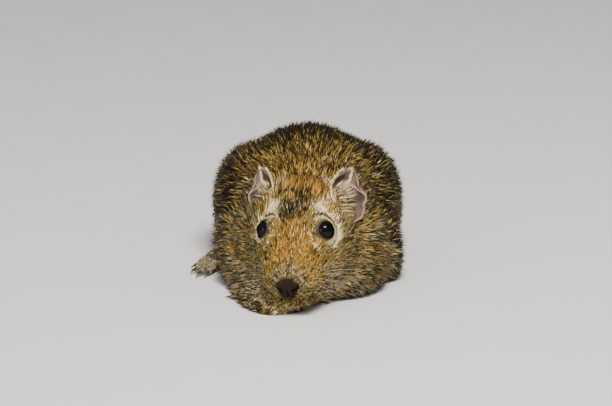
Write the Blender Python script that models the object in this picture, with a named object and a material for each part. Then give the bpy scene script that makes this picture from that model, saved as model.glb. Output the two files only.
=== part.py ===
# A degu at life size, crouched flat, looking along -Y with its chin low and its head turned a little to its right.
# The flesh is a set of muscle masses (ellipsoids) that melt into one another. Each node's surface is where rays,
# sent out from rings along an inner line, leave those masses. Lengths are in millimetres and are scaled to metres
# when a mesh is made. +X is the animal's left, -Y is forward and the floor is z = 0.
import math

import bmesh
import bpy
import numpy as np
from mathutils import Vector

MM = 0.001
GAP = 0.3            # kept between two nodes that touch
BLEND = 2.2          # how softly one mass melts into the next
FINE_BLEND = 0.9     # the same among the small masses of nose and lips
RAY_LENGTH = 62.0
RAY_SAMPLES = 90

# The head's own frame: origin at the tip of the nose, +y back along the skull, +z to the crown.
NOSE_TIP = (-7.6, -60.0, 14.0)
HEAD_YAW = -12.0     # to the animal's right
HEAD_PITCH = 31.0    # nose down
HEAD_ROLL = 4.0
EYE_RADIUS = 4.0
EYE_PLACE = (12.2, 24.4, 7.4)
LID_OPENING = 66.0     # degrees from the eye's own axis out to the rim
LID_THICKNESS = 2.0
EAR_ROOT = (18.6, 40.0, -1.5)
EAR_HEIGHT = 23.0
EAR_WIDTH = 15.5
EAR_THICKNESS = 0.9

HAUNCH_HALF_WIDTH = 41.0
BACK_HEIGHT = 58.5
LOIN_HEIGHT = 25.0   # of the middle of the belly's mass
TAIL_LENGTH = 102.0
TAIL_ROOT = (0.0, 68.0, 8.0)
TAIL_ROOT_RADIUS = 4.0
TAIL_TIP_RADIUS = 1.7
BRUSH_START = 0.66   # share of the tail that is bare of the black brush
BRUSH_CORE_END = 0.91
BRUSH_LOCK_LENGTH = 13.0
BRUSH_WHORLS = 3
BRUSH_AROUND = 6
BRUSH_SEED = 11
LOCK_CLEARANCE = 0.15  # between the floor and the lowest lock
PIT_DEPTH = 3.0      # how far below the floor the cutters for the paws go on


def turn(yaw, pitch, roll=0.0):
    """Rows are the turned x, y and z axes: roll about y, then pitch about x, then yaw about z."""
    y, p, r = (math.radians(a) for a in (-yaw, pitch, roll))
    about_z = np.array([[math.cos(y), -math.sin(y), 0], [math.sin(y), math.cos(y), 0], [0, 0, 1]])
    about_x = np.array([[1, 0, 0], [0, math.cos(p), -math.sin(p)], [0, math.sin(p), math.cos(p)]])
    about_y = np.array([[math.cos(r), 0, -math.sin(r)], [0, 1, 0], [math.sin(r), 0, math.cos(r)]])
    return (about_z @ about_x @ about_y).T


HEAD_AXES = turn(-HEAD_YAW, HEAD_PITCH, HEAD_ROLL)


def on_head(point):
    return np.array(NOSE_TIP) + np.asarray(point, float) @ HEAD_AXES


def mass(centre, radii, axes=None, fine=False):
    return np.array(centre, float), np.array(radii, float), np.eye(3) if axes is None else axes, fine


def head_mass(centre, radii, fine=False):
    return mass(on_head(centre), radii, HEAD_AXES, fine)


def head_pair(centre, radii, fine=False):
    x, y, z = centre
    return [head_mass((side * x, y, z), radii, fine) for side in (-1, 1)]


def head_masses():
    return [
        head_mass((0, 31, 1), (14.5, 18, 12.5)),                 # skull
        head_mass((0, 12.6, -3.6), (9.2, 12.4, 8.2)),            # muzzle
        *head_pair((7.5, 17, -5), (7, 12.5, 8.5)),               # sides of the muzzle
        head_mass((0, 17, 0.8), (8.5, 13, 8.6)),                 # bridge of the nose
        head_mass((0, 13.5, -10.2), (7.5, 12, 5.4)),             # lower jaw
        head_mass((0, 43, 0), (17, 12, 14)),                     # back of the head
        *head_pair((8.5, 24, 6.5), (5.5, 8, 4.5)),               # brows
        *head_pair((10.5, 29, -8), (11.5, 15, 12)),              # cheeks
        head_mass((0, 2.2, -0.8), (4.9, 3.5, 3.2), fine=True),   # nose pad
        *head_pair((5.0, 6.2, -4.9), (5.2, 6.4, 4.2), fine=True),  # upper lips, which carry the whiskers
        head_mass((0, 4.7, -11), (5.0, 4.6, 2.5), fine=True),    # lower lip
    ]


def trunk_masses():
    return [
        mass((-1, -24, 26), (22, 17, 20), turn(8, 8)),                  # neck
        mass((-16, -31.5, 0), (12.8, 25.5, 12.5), turn(-9, 0)),         # right side of the throat
        mass((-4, -33, 8), (16, 18, 10.5)),                             # throat
        mass((11, -23, 9), (22, 18, 11.5), turn(-24, 0)),               # left side of the chest
        mass((-13, -13, 20), (16.5, 18, 20)),                           # right shoulder
        mass((17.5, -15, 20), (17, 18, 20)),                            # left shoulder
        mass((1.5, -2, 24.5), (30, 30, 28)),                            # rib cage
        mass((1, 28, LOIN_HEIGHT), (32, 40, BACK_HEIGHT - LOIN_HEIGHT)),  # loin and belly
        mass((-18, 37, 33), (17, 25, 15.5)),                            # right hip
        mass((20, 37, 33), (17, 25, 15.5)),                             # left hip
    ]


def thigh_masses(side):
    outer = side * HAUNCH_HALF_WIDTH + 0.7
    return [
        mass((outer - side * 14.5, 36, 22), (14, 27, 23), turn(side * 4, 0)),
        mass((outer - side * 11.5, 10, 14), (10, 15, 13.5), turn(side * 8, -6)),
    ]


def soft_union(distances, blend):
    total = sum(np.exp(np.clip(-distance / blend, -60, 60)) for distance in distances)
    return -blend * np.log(total + 1e-26)


def field(points, masses):
    """Rough distance in mm to the blended surface, negative inside."""
    broad, small = [], []
    for centre, radii, axes, fine in masses:
        local = (points - centre) @ axes.T
        whole = np.linalg.norm(local / radii, axis=-1) + 1e-9
        slope = np.linalg.norm(local / radii**2, axis=-1) + 1e-9
        (small if fine else broad).append(whole * (whole - 1) / slope)
    if small:
        broad.append(soft_union(small, FINE_BLEND))
    return soft_union(broad, BLEND)


def reach(origins, rays, masses, level=0.0):
    """How far each ray goes before it leaves the masses for the last time, or meets the floor."""
    steps = np.linspace(0, RAY_LENGTH, RAY_SAMPLES)
    inside = field(origins[:, None] + steps[:, None] * rays[:, None], masses) < level
    last = RAY_SAMPLES - 1 - np.argmax(inside[:, ::-1], axis=1)
    near = steps[last]
    far = near + steps[1]
    for _ in range(16):
        middle = (near + far) / 2
        within = field(origins + middle[:, None] * rays, masses) < level
        near = np.where(within, middle, near)
        far = np.where(within, far, middle)
    down = np.minimum(rays[:, 2], -1e-6)
    return np.minimum(near, np.where(rays[:, 2] < -1e-4, -origins[:, 2] / down, RAY_LENGTH))


def smooth_row(rows, at):
    """A Catmull-Rom curve through rows, read at each value of at, where 1.0 is one row on."""
    rows = np.array(rows, float)
    at = np.clip(np.asarray(at, float), 0, len(rows) - 1 - 1e-9)
    first = at.astype(int)
    t = (at - first)[:, None]
    a, b, c, d = (rows[np.clip(first + k, 0, len(rows) - 1)] for k in (-1, 0, 1, 2))
    return 0.5 * (2 * b + (c - a) * t + (2 * a - 5 * b + 4 * c - d) * t**2 + (3 * b - a - 3 * c + d) * t**3)


def ring_frames(rows, at, shifts):
    """Centres, axes and lean of rings. A row is x, y, z, pitch, yaw, lean. A shift moves a ring along its normal.
    Lean tips the ring's rays forward, so that the last rings of an end close it like a dome."""
    found = smooth_row(rows, at)
    axes = np.array([turn(yaw, pitch) for pitch, yaw in found[:, 3:5]])
    centres = found[:, :3] + shifts[:, None] * axes[:, 1]
    return centres, axes, np.radians(found[:, 5])[:, None, None]


def skin_rings(rows, at, masses, around, level, shifts):
    centres, axes, lean = ring_frames(rows, at, shifts)
    angles = np.linspace(0, 2 * math.pi, around, endpoint=False)
    rays = np.cos(angles)[:, None] * axes[:, None, 0] + np.sin(angles)[:, None] * axes[:, None, 2]
    rays = np.cos(lean) * rays - np.sin(lean) * axes[:, None, 1]
    origins = np.repeat(centres, around, axis=0)
    rays = rays.reshape(-1, 3)
    lengths = reach(origins, rays, masses, level)
    return (origins + lengths[:, None] * rays).reshape(len(centres), around, 3), centres, axes


def mesh_object(name, points, faces):
    mesh = bpy.data.meshes.new(name)
    mesh.from_pydata([tuple(p * MM) for p in points], [], faces)
    shape = bmesh.new()
    shape.from_mesh(mesh)
    bmesh.ops.remove_doubles(shape, verts=shape.verts, dist=1e-6)
    bmesh.ops.dissolve_degenerate(shape, edges=shape.edges, dist=1e-7)
    bmesh.ops.triangulate(shape, faces=shape.faces)
    bmesh.ops.recalc_face_normals(shape, faces=shape.faces)
    shape.to_mesh(mesh)
    shape.free()
    mesh.shade_smooth()
    made = bpy.data.objects.new(name, mesh)
    bpy.context.scene.collection.objects.link(made)
    return made


def closed_tube(name, rings, first_pole, last_pole):
    """Rings of points joined into one closed body, with a point to close each end."""
    count, around = rings.shape[:2]
    points = np.vstack([rings.reshape(-1, 3), [first_pole], [last_pole]])
    start, end = count * around, count * around + 1
    faces = []
    for i in range(around):
        j = (i + 1) % around
        faces.append((start, j, i))
        faces.append((end, (count - 1) * around + i, (count - 1) * around + j))
        for k in range(count - 1):
            faces.append((k * around + i, k * around + j, (k + 1) * around + j, (k + 1) * around + i))
    return mesh_object(name, points, faces)


def skin_body(name, rows, at, masses, around, level=0.0, flat_start=False, flat_end=False):
    """A closed body between two ring positions. A flat end stops half a gap short of its ring."""
    shifts = np.zeros(len(at))
    shifts[0] = GAP / 2 if flat_start else 0
    shifts[-1] = -GAP / 2 if flat_end else 0
    rings, centres, axes = skin_rings(rows, at, masses, around, level, shifts)
    first, last = centres[0], centres[-1]
    if not flat_start:
        ray = -axes[:1, 1]
        first = first + reach(centres[:1], ray, masses, level)[0] * ray[0]
    if not flat_end:
        ray = axes[-1:, 1]
        last = last + reach(centres[-1:], ray, masses, level)[0] * ray[0]
    return closed_tube(name, rings, first, last)


def limb_tube(name, path, radii, sides, grow=0.0, flat=1.0, bulge=(0.7, 0.7)):
    """A tube along a path. flat squashes its height and bulge rounds its two ends. Its bottom is level with the floor."""
    path = np.array(path, float)
    radii = np.array(radii, float) + grow
    along = np.gradient(path, axis=0)
    along /= np.linalg.norm(along, axis=1)[:, None]
    side = np.cross(along, (0, 0, 1.0))
    side /= np.linalg.norm(side, axis=1)[:, None]
    up = np.cross(side, along)
    angles = np.linspace(0, 2 * math.pi, sides, endpoint=False)
    ring = np.cos(angles)[:, None] * side[:, None] + flat * np.sin(angles)[:, None] * up[:, None]
    rings = path[:, None] + radii[:, None, None] * ring
    ends = path[0] - along[0] * radii[0] * bulge[0], path[-1] + along[-1] * radii[-1] * bulge[1]
    rings[..., 2] = np.maximum(rings[..., 2], 0)
    return closed_tube(name, rings, *ends)


def keep_largest(target):
    """Only the largest closed surface stays."""
    shape = bmesh.new()
    shape.from_mesh(target.data)
    left = set(shape.verts)
    groups = []
    while left:
        group, front = set(), [left.pop()]
        while front:
            vert = front.pop()
            group.add(vert)
            for edge in vert.link_edges:
                other = edge.other_vert(vert)
                if other in left:
                    left.remove(other)
                    front.append(other)
        groups.append(group)
    groups.sort(key=len)
    for group in groups[:-1]:
        bmesh.ops.delete(shape, geom=list(group), context="VERTS")
    bmesh.ops.triangulate(shape, faces=shape.faces)
    shape.to_mesh(target.data)
    shape.free()
    target.data.shade_smooth()


def boolean(target, others, operation, solver="EXACT"):
    """One Boolean with all the other bodies, which are then removed. EXACT loses bodies whose flat undersides
    lie in one plane, so those take MANIFOLD."""
    group = bpy.data.collections.new("operands")
    bpy.context.scene.collection.children.link(group)
    for other in others:
        bpy.context.scene.collection.objects.unlink(other)
        group.objects.link(other)
    modifier = target.modifiers.new("join", "BOOLEAN")
    modifier.operand_type = "COLLECTION"
    modifier.collection = group
    modifier.operation = operation
    modifier.solver = solver
    view = bpy.context.evaluated_depsgraph_get()
    view.update()
    made = bpy.data.meshes.new_from_object(target.evaluated_get(view))
    target.modifiers.clear()
    target.data = made
    for other in others:
        bpy.data.objects.remove(other)
    bpy.data.collections.remove(group)
    keep_largest(target)
    return target


def material(name, colour, roughness, coat=0.0):
    made = bpy.data.materials.new(name)
    made.use_nodes = True
    shader = made.node_tree.nodes["Principled BSDF"]
    shader.inputs["Base Color"].default_value = (*colour, 1)
    shader.inputs["Roughness"].default_value = roughness
    shader.inputs["Coat Weight"].default_value = coat
    made.diffuse_color = (*colour, 1)
    return made


def finish(target, name, made):
    target.name = name
    target.data.name = name
    target.data.materials.clear()
    target.data.materials.append(made)
    return target


# Rings down the body, nose to rump: x, y, z, pitch, yaw and lean of each.
def body_rows():
    return [
        (*on_head((0, 8.5, -5.5)), 31, 12, 85),
        (*on_head((0, 8.5, -5.5)), 31, 12, 54),
        (*on_head((0, 8.5, -5.5)), 29, 12, 25),
        (*on_head((0, 11, -4.5)), 22, 12, 6),
        (*on_head((0, 17, -3)), 8, 12, 0),
        (*on_head((0, 26, -2)), -5, 12, 0),
        (*on_head((0, 33, -1)), -14, 11, 0),
        (-2.5, -25, 28, -18, 9, 0),
        (-0.5, -12, 29, -13, 4, 0),
        (1.5, 6, 29, -5, 0, 0),
        (1.0, 28, 28, 0, 0, 0),
        (0.6, 46, 25, 0, 0, -4),
        (0.4, 52, 23, 0, 0, -32),
        (0.4, 54, 23, 0, 0, -60),
        (0.4, 54, 23, 0, 0, -86),
    ]


# Where along those rings the head, the neck and the torso end.
HEAD_END = 7.4
NECK_END = 8.35
TRUNK_END = 14.0


def thigh_rows(side):
    outer = side * HAUNCH_HALF_WIDTH + 0.7
    return [
        (outer - side * 11, 6, 13, 0, 0, 84),
        (outer - side * 11, 6, 13, 0, 0, 42),
        (outer - side * 11.5, 10, 14, 0, 0, 4),
        (outer - side * 12.5, 22, 18, 0, 0, 0),
        (outer - side * 14, 38, 20, 0, 0, 0),
        (outer - side * 14, 47, 21, 0, 0, -10),
        (outer - side * 14, 49, 21, 0, 0, -46),
        (outer - side * 14, 49, 21, 0, 0, -84),
    ]


def make_thigh(side, level=0.0):
    at = np.linspace(0, 7, 15)
    return skin_body("thigh", thigh_rows(side), at, thigh_masses(side), 18, level)


def hind_foot(side, spread, heel, grow=0.0):
    """The long sole from the heel to the toe roots, five toes and their claws, turned out by spread degrees."""
    out, pieces = math.radians(spread), []

    def place(forward, outward, height):
        x = forward * math.sin(out) + outward * math.cos(out)
        y = -forward * math.cos(out) + outward * math.sin(out)
        return (heel[0] + side * x, heel[1] + y, height)

    sole = [place(-2, 0, 4.4), place(2, 0, 5.0), place(9, 0, 4.8), place(16, 0.2, 4.2), place(21, 0.2, 3.4)]
    pieces.append(limb_tube("sole", sole, (2.6, 4.3, 4.2, 5.2, 4.6), 10, grow, 0.8))
    shin = [place(5, 0, 6.0), place(5, -1, 10), place(7, -3, 14)]
    pieces.append(limb_tube("shin", shin, (4.2, 4.4, 4.6), 8, grow))
    # forward and outward place of the root, length, and how far the tip swings outward
    toes = ((14.5, -4.2, 7.0, -2.6), (18.5, -3.0, 12.0, -5.0), (19.5, -0.4, 13.5, -5.2), (18.5, 2.3, 13.0, -3.2),
            (15.0, 4.3, 11.5, -0.6))
    for start, root, length, swing in toes:
        toe = [place(start + length * t, root + swing * t, 2.6 + 1.5 * math.sin(math.pi * t) - 1.1 * t)
               for t in (0, 0.35, 0.7, 1)]
        pieces.append(limb_tube("toe", toe, (1.9, 1.7, 1.6, 1.3), 6, grow))
        reach_on = CLAW_LENGTH / length
        claw = [place(start + length * (1 + reach_on * t), root + swing * (1 + reach_on * t),
                      1.9 + 0.5 * math.sin(2.2 * t) - 1.3 * t * t) for t in (-0.25, 0.2, 0.65, 1)]
        pieces.append(limb_tube("claw", claw, (0.85, 0.8, 0.55, 0.22), 5, grow))
    return pieces


def fore_paw(side, wrist, spread, grow=0.0):
    """Palm, four fingers and claws, lying flat under the chin."""
    out, pieces = math.radians(spread), []

    def place(forward, outward, height):
        x = forward * math.sin(out) + outward * math.cos(out)
        y = -forward * math.cos(out) + outward * math.sin(out)
        return (wrist[0] + side * x, wrist[1] + y, height)

    palm = [place(0.3, 0, 3.0), place(2.5, 0, 2.8), place(5.5, 0, 2.4)]
    pieces.append(limb_tube("palm", palm, (2.9, 3.3, 3.0), 8, grow, 0.8))
    fingers = ((-2.4, 4.5, -1.2), (-0.8, 6.3, -0.4), (0.9, 6.3, 0.5), (2.4, 4.8, 1.4))
    for root, length, swing in fingers:
        finger = [place(4.6 + length * t, root + swing * t, 1.9 + 0.6 * math.sin(math.pi * t) - 0.7 * t)
                  for t in (0, 0.5, 1)]
        pieces.append(limb_tube("finger", finger, (1.2, 1.1, 0.9), 6, grow))
        tip = 4.6 + length
        claw = [place(tip + 2.6 * t, root + swing * (1 + 0.3 * t), 1.25 - 0.75 * t * t)
                for t in (-0.25, 0.4, 1)]
        pieces.append(limb_tube("claw", claw, (0.6, 0.5, 0.22), 5, grow))
    return pieces


# Heel and outward turn of each hind foot, wrist and turn of each forepaw, and each foreleg from the upper arm round
# the elbow to just short of the wrist as x, y, z and radius. Side -1 is the animal's right.
HEEL = {-1: (-25.5, 25.0), 1: (27.0, 31.0)}
FOOT_SPREAD = {-1: 47.0, 1: 16.0}
CLAW_LENGTH = 4.4
WRIST = {-1: (-19.0, -33.0), 1: (15.0, -21.5)}
PAW_SPREAD = {-1: -4.0, 1: -20.0}
FORELEG = {
    -1: [(-22.5, -2, 17, 7.5), (-26, -8, 12, 7.8), (-27, -14, 7.5, 6.8), (-24, -24, 5.2, 5.0), (-20.5, -30, 3.6, 3.5)],
    1: [(27, 3, 17, 7.5), (31, -2, 12, 7.8), (31, -8, 7.5, 6.8), (25, -15, 5.2, 5.0), (18.3, -19.3, 3.6, 3.5)],
}


def make_foreleg(side, grow=0.0):
    rows = smooth_row(FORELEG[side], np.linspace(0, 4, 9))
    return limb_tube("foreleg", rows[:, :3], rows[:, 3], 12, grow)


def tail_path(first, last, count):
    """The tail leaves the rump, comes down to the floor and runs straight back in a slack double bend."""
    t = np.linspace(first, last, count)
    radius = tail_radius(t)
    x = TAIL_ROOT[0] + 5.0 * np.sin(2.6 * math.pi * t) * t
    y = TAIL_ROOT[1] - 5.0 + TAIL_LENGTH * t
    drop = np.clip(t / 0.22, 0, 1)
    z = radius * 0.92 + (TAIL_ROOT[2] - radius * 0.92) * (1 - drop * drop * (3 - 2 * drop))
    return np.stack([x, y, z], axis=1)


def tail_radius(t):
    return TAIL_ROOT_RADIUS + (TAIL_TIP_RADIUS - TAIL_ROOT_RADIUS) * np.clip(t * 1.3, 0, 1) ** 0.8


def tail_piece(first, last, count, grow=0.0, bulge=(0.0, 0.0)):
    radii = tail_radius(np.linspace(first, last, count))
    return limb_tube("tail", tail_path(first, last, count), radii, 10, grow, 1.0, bulge)


def lock(root, along, out, length, width, lift):
    """A flat tapered lock of stiff hair: it leaves root along the tail, rises by lift and bends back to the tip."""
    t = np.linspace(0, 1, 5)[:, None]
    side = np.cross(along, out)
    path = root + length * t * along + lift * np.sin(math.pi * t**0.8 / 1.5) * out
    half_width = width / 2 * (0.75 + 0.5 * np.sin(math.pi * t)) * (1 - t**2.2) + 0.15
    half_depth = 0.45 * (1 - t**1.5) + 0.15
    lowest = half_width * abs(side[2]) + half_depth * abs(out[2]) + LOCK_CLEARANCE
    path[:, 2] = np.maximum(path[:, 2], lowest[:, 0])
    rings = np.stack([path + half_width * side, path + half_depth * out,
                      path - half_width * side, path - half_depth * out], axis=1)
    return closed_tube("lock", rings, rings[0].mean(axis=0), rings[-1].mean(axis=0))


def tail_brush():
    """A slim core and the black locks that grow from it in staggered whorls, the last ones past its end."""
    start = BRUSH_START + GAP / TAIL_LENGTH
    t = np.linspace(start, BRUSH_CORE_END, 9)
    share = (t - start) / (BRUSH_CORE_END - start)
    radii = tail_radius(t) * (1 + 0.45 * np.sin(math.pi * share**0.7)) * (1 - 0.55 * share**3)
    path = tail_path(start, BRUSH_CORE_END, 9)
    core = limb_tube("tail_tuft", path, radii, 10, 0, 1.0, (0, 0.7))
    draw = np.random.default_rng(BRUSH_SEED)
    locks = []
    for whorl in range(BRUSH_WHORLS):
        for k in range(BRUSH_AROUND):
            share = 0.12 + 0.84 * whorl / (BRUSH_WHORLS - 1) + draw.uniform(-0.06, 0.02)
            at = start + (BRUSH_CORE_END - start) * share
            before, root, after = tail_path(at - 0.01, at + 0.01, 3)
            along = (after - before) / np.linalg.norm(after - before)
            angle = 2 * math.pi * (k + 0.5 * (whorl % 2)) / BRUSH_AROUND + draw.uniform(-0.2, 0.2)
            out = np.array([math.cos(angle), 0, math.sin(angle)])
            out -= along * (out @ along)
            out /= np.linalg.norm(out)
            heading = along + out * draw.uniform(0.2, 0.34)
            length = BRUSH_LOCK_LENGTH * draw.uniform(0.85, 1.1)
            locks.append(lock(root + out * 0.5, heading / np.linalg.norm(heading), out, length,
                              draw.uniform(2.8, 3.6), draw.uniform(1.0, 1.9)))
    return boolean(core, locks, "UNION")


def ear_axes(side):
    """The cup's own axes: across points outward, back points away from the opening, high runs up the ear."""
    across = np.array([side * 0.80, 0.52, -0.10])
    high = np.array([-side * 0.05, 0.74, 0.67])
    high /= np.linalg.norm(high)
    across -= high * (across @ high)
    across /= np.linalg.norm(across)
    return np.array([across, np.cross(across, high) * -side, high])


def ear_sheets(side):
    """The two faces of the cup as grids: u runs across from rim to rim and v from root to tip."""
    rows, columns = 9, 11
    v, u = np.meshgrid(np.linspace(0, 1, rows), np.linspace(-1, 1, columns), indexing="ij")
    spread = np.radians(105 - 38 * v)
    width = EAR_WIDTH / 2 * (0.52 + 0.60 * np.sin(math.pi * (0.08 + 0.72 * v))) * np.sqrt(1 - (v * 0.985) ** 6)
    depth = 5.2 * (1 - 0.35 * v) * np.sqrt(1 - (v * 0.985) ** 8)
    across = width * np.sin(spread * u) / np.sin(np.minimum(spread, math.pi / 2))
    back = depth * (np.cos(spread * u) - np.cos(spread) * 0.5 - 0.5) - 2.2 * v * v
    high = EAR_HEIGHT * (v * (1 - 0.10 * u * u) - 0.06)
    outer = np.stack([across, back, high], axis=-1)
    normal = np.cross(np.gradient(outer, axis=1), np.gradient(outer, axis=0))
    normal /= np.linalg.norm(normal, axis=-1, keepdims=True) + 1e-9
    inner = outer + normal * EAR_THICKNESS * (1.15 - 0.45 * v[..., None])
    place = np.array([side * EAR_ROOT[0], EAR_ROOT[1], EAR_ROOT[2]])
    return [on_head(place + sheet @ ear_axes(side)) for sheet in (outer, inner)]


def make_ear(side):
    """A thin upright cup, open to the front and outside."""
    outer, inner = ear_sheets(side)
    rows, columns = outer.shape[:2]
    half, faces = rows * columns, []
    for r in range(rows - 1):
        for c in range(columns - 1):
            a = r * columns + c
            b, d, e = a + 1, a + columns, a + columns + 1
            faces += [(a, b, e), (a, e, d), (a + half, e + half, b + half), (a + half, d + half, e + half)]
    edge = list(range(columns)) + [r * columns + columns - 1 for r in range(1, rows)]
    edge += [(rows - 1) * columns + c for c in range(columns - 2, -1, -1)]
    edge += [r * columns for r in range(rows - 2, 0, -1)]
    for a, b in zip(edge, edge[1:] + edge[:1]):
        faces.append((a, a + half, b + half, b))
    return mesh_object("ear", np.vstack([outer.reshape(-1, 3), inner.reshape(-1, 3)]), faces)


def ear_root(side):
    """The fleshy root, an egg that encloses the foot of the cup."""
    x, y, z = side * (EAR_ROOT[0] - 2.0), EAR_ROOT[1] + 1.6, EAR_ROOT[2] - 0.6
    rows = [(*on_head((x, y, z)), HEAD_PITCH, -HEAD_YAW, lean) for lean in (80, 40, 0, -40, -80)]
    egg = mass(on_head((x, y, z)), (5.4, 6.0, 4.6), HEAD_AXES)
    return skin_body("ear_root", rows, np.linspace(0, 4, 7), [egg], 12)


def hollow(name, points, clearance):
    """The convex hull of points, pushed out all round: what a node gives way to where another is sunk into it."""
    shape = bmesh.new()
    for point in points:
        shape.verts.new(Vector(point) * MM)
    found = bmesh.ops.convex_hull(shape, input=shape.verts)
    spare = {part for part in found["geom_interior"] + found["geom_unused"] if isinstance(part, bmesh.types.BMVert)}
    bmesh.ops.delete(shape, geom=list(spare), context="VERTS")
    bmesh.ops.recalc_face_normals(shape, faces=shape.faces)
    shape.normal_update()
    for vert in shape.verts:
        vert.co += vert.normal * clearance * MM
    mesh = bpy.data.meshes.new(name)
    shape.to_mesh(mesh)
    shape.free()
    made = bpy.data.objects.new(name, mesh)
    bpy.context.scene.collection.objects.link(made)
    return made


def points_of(pieces):
    """The vertices of pieces in mm. The pieces are removed."""
    found = np.vstack([[vert.co for vert in piece.data.vertices] for piece in pieces]) / MM
    for piece in pieces:
        bpy.data.objects.remove(piece)
    return found


def ear_hollow(side):
    sheets = np.vstack([sheet[:, ::2].reshape(-1, 3) for sheet in ear_sheets(side)])
    return hollow("ear_hollow", np.vstack([points_of([ear_root(side)]), sheets]), GAP * 1.8)


def paw_hollow(side):
    """A plain pit under the throat, round the whole paw and open to the floor."""
    points = points_of(fore_paw(side, WRIST[side], PAW_SPREAD[side]))
    below = points * (1, 1, 0) - (0, 0, PIT_DEPTH)
    return hollow("paw_hollow", np.vstack([points, below]), GAP * 1.6)


def ball(name, centre, radius, rings=10):
    made_mesh = bpy.data.meshes.new(name)
    shape = bmesh.new()
    bmesh.ops.create_uvsphere(shape, u_segments=rings + 4, v_segments=rings, radius=radius * MM)
    bmesh.ops.translate(shape, verts=shape.verts, vec=Vector(centre) * MM)
    bmesh.ops.triangulate(shape, faces=shape.faces)
    shape.to_mesh(made_mesh)
    shape.free()
    made_mesh.shade_smooth()
    made = bpy.data.objects.new(name, made_mesh)
    bpy.context.scene.collection.objects.link(made)
    return made


def eye_centre(side):
    x, y, z = EYE_PLACE
    return on_head((side * x, y, z))


def eye_axes(side):
    """Forward, upward and outward axes of an eye. It looks out square to the head's surface there."""
    centre, steps = eye_centre(side), np.eye(3) * 2
    rise = field(centre + steps, head_masses()) - field(centre - steps, head_masses())
    out = rise / np.linalg.norm(rise)
    forward = -HEAD_AXES[1] + out * (HEAD_AXES[1] @ out)
    forward /= np.linalg.norm(forward)
    return forward, np.cross(forward, out) * side, out


def eye_lids(side):
    """A rim that follows the eyeball where it comes out of the head, a little longer than high."""
    forward, up, out = eye_axes(side)
    angles = np.linspace(0, 2 * math.pi, 16, endpoint=False)
    opening = np.radians(LID_OPENING + 8 * np.sin(angles) + 3 * np.cos(2 * angles))[:, None]
    spread = np.cos(angles)[:, None] * forward + np.sin(angles)[:, None] * up
    outward = np.cos(opening) * out + np.sin(opening) * spread
    across = np.cross(outward, np.roll(outward, -1, axis=0) - np.roll(outward, 1, axis=0))
    across /= np.linalg.norm(across, axis=1)[:, None]
    turns = np.linspace(0, 2 * math.pi, 6, endpoint=False)[:, None]
    rim = eye_centre(side) + outward * (EYE_RADIUS + GAP + 0.35)
    ring = rim[:, None] + LID_THICKNESS / 2 * (np.cos(turns) * outward[:, None] + np.sin(turns) * across[:, None])
    count, around = ring.shape[:2]
    faces = []
    for i in range(count):
        for k in range(around):
            a, b = i * around + k, i * around + (k + 1) % around
            faces.append((a, b, (b + around) % (count * around), (a + around) % (count * around)))
    return mesh_object("lids", ring.reshape(-1, 3), faces)


def on_face(points, directions):
    """Where rays from points, both in the head's frame, come out of the muzzle."""
    rays = np.array(directions, float) @ HEAD_AXES
    rays /= np.linalg.norm(rays, axis=1)[:, None]
    starts = np.array([on_head(point) for point in points])
    return starts + reach(starts, rays, head_masses())[:, None] * rays


def mouth_line():
    """The groove between the lips, from corner to corner."""
    angles = np.radians(np.linspace(-64, 64, 13))
    heights = -8.2 - 0.7 * np.cos(3 * angles)
    path = on_face([(0, 7, height) for height in heights], [(math.sin(a), -math.cos(a), 0) for a in angles])
    return limb_tube("mouth", path, 0.25 + 0.45 * np.cos(angles), 5)


def philtrum():
    """The groove from the nose pad down to the mouth."""
    heights = np.linspace(-2.4, -8.6, 6)
    path = on_face([(0, 7, height) for height in heights], [(0, -1, 0)] * 6)
    return limb_tube("philtrum", path, np.full(6, 0.42), 5)


def nostril(side):
    """A comma that runs from the front of the nose pad outward and back."""
    ways = [(side * 0.16, -1, -0.22), (side * 0.34, -1, -0.20), (side * 0.58, -1, -0.08), (side * 0.85, -1, 0.10)]
    path = on_face([(side * 0.8, 3.5, -0.9)] * 4, ways)
    return limb_tube("nostril", path, (0.35, 0.62, 0.55, 0.25), 5)


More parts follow.
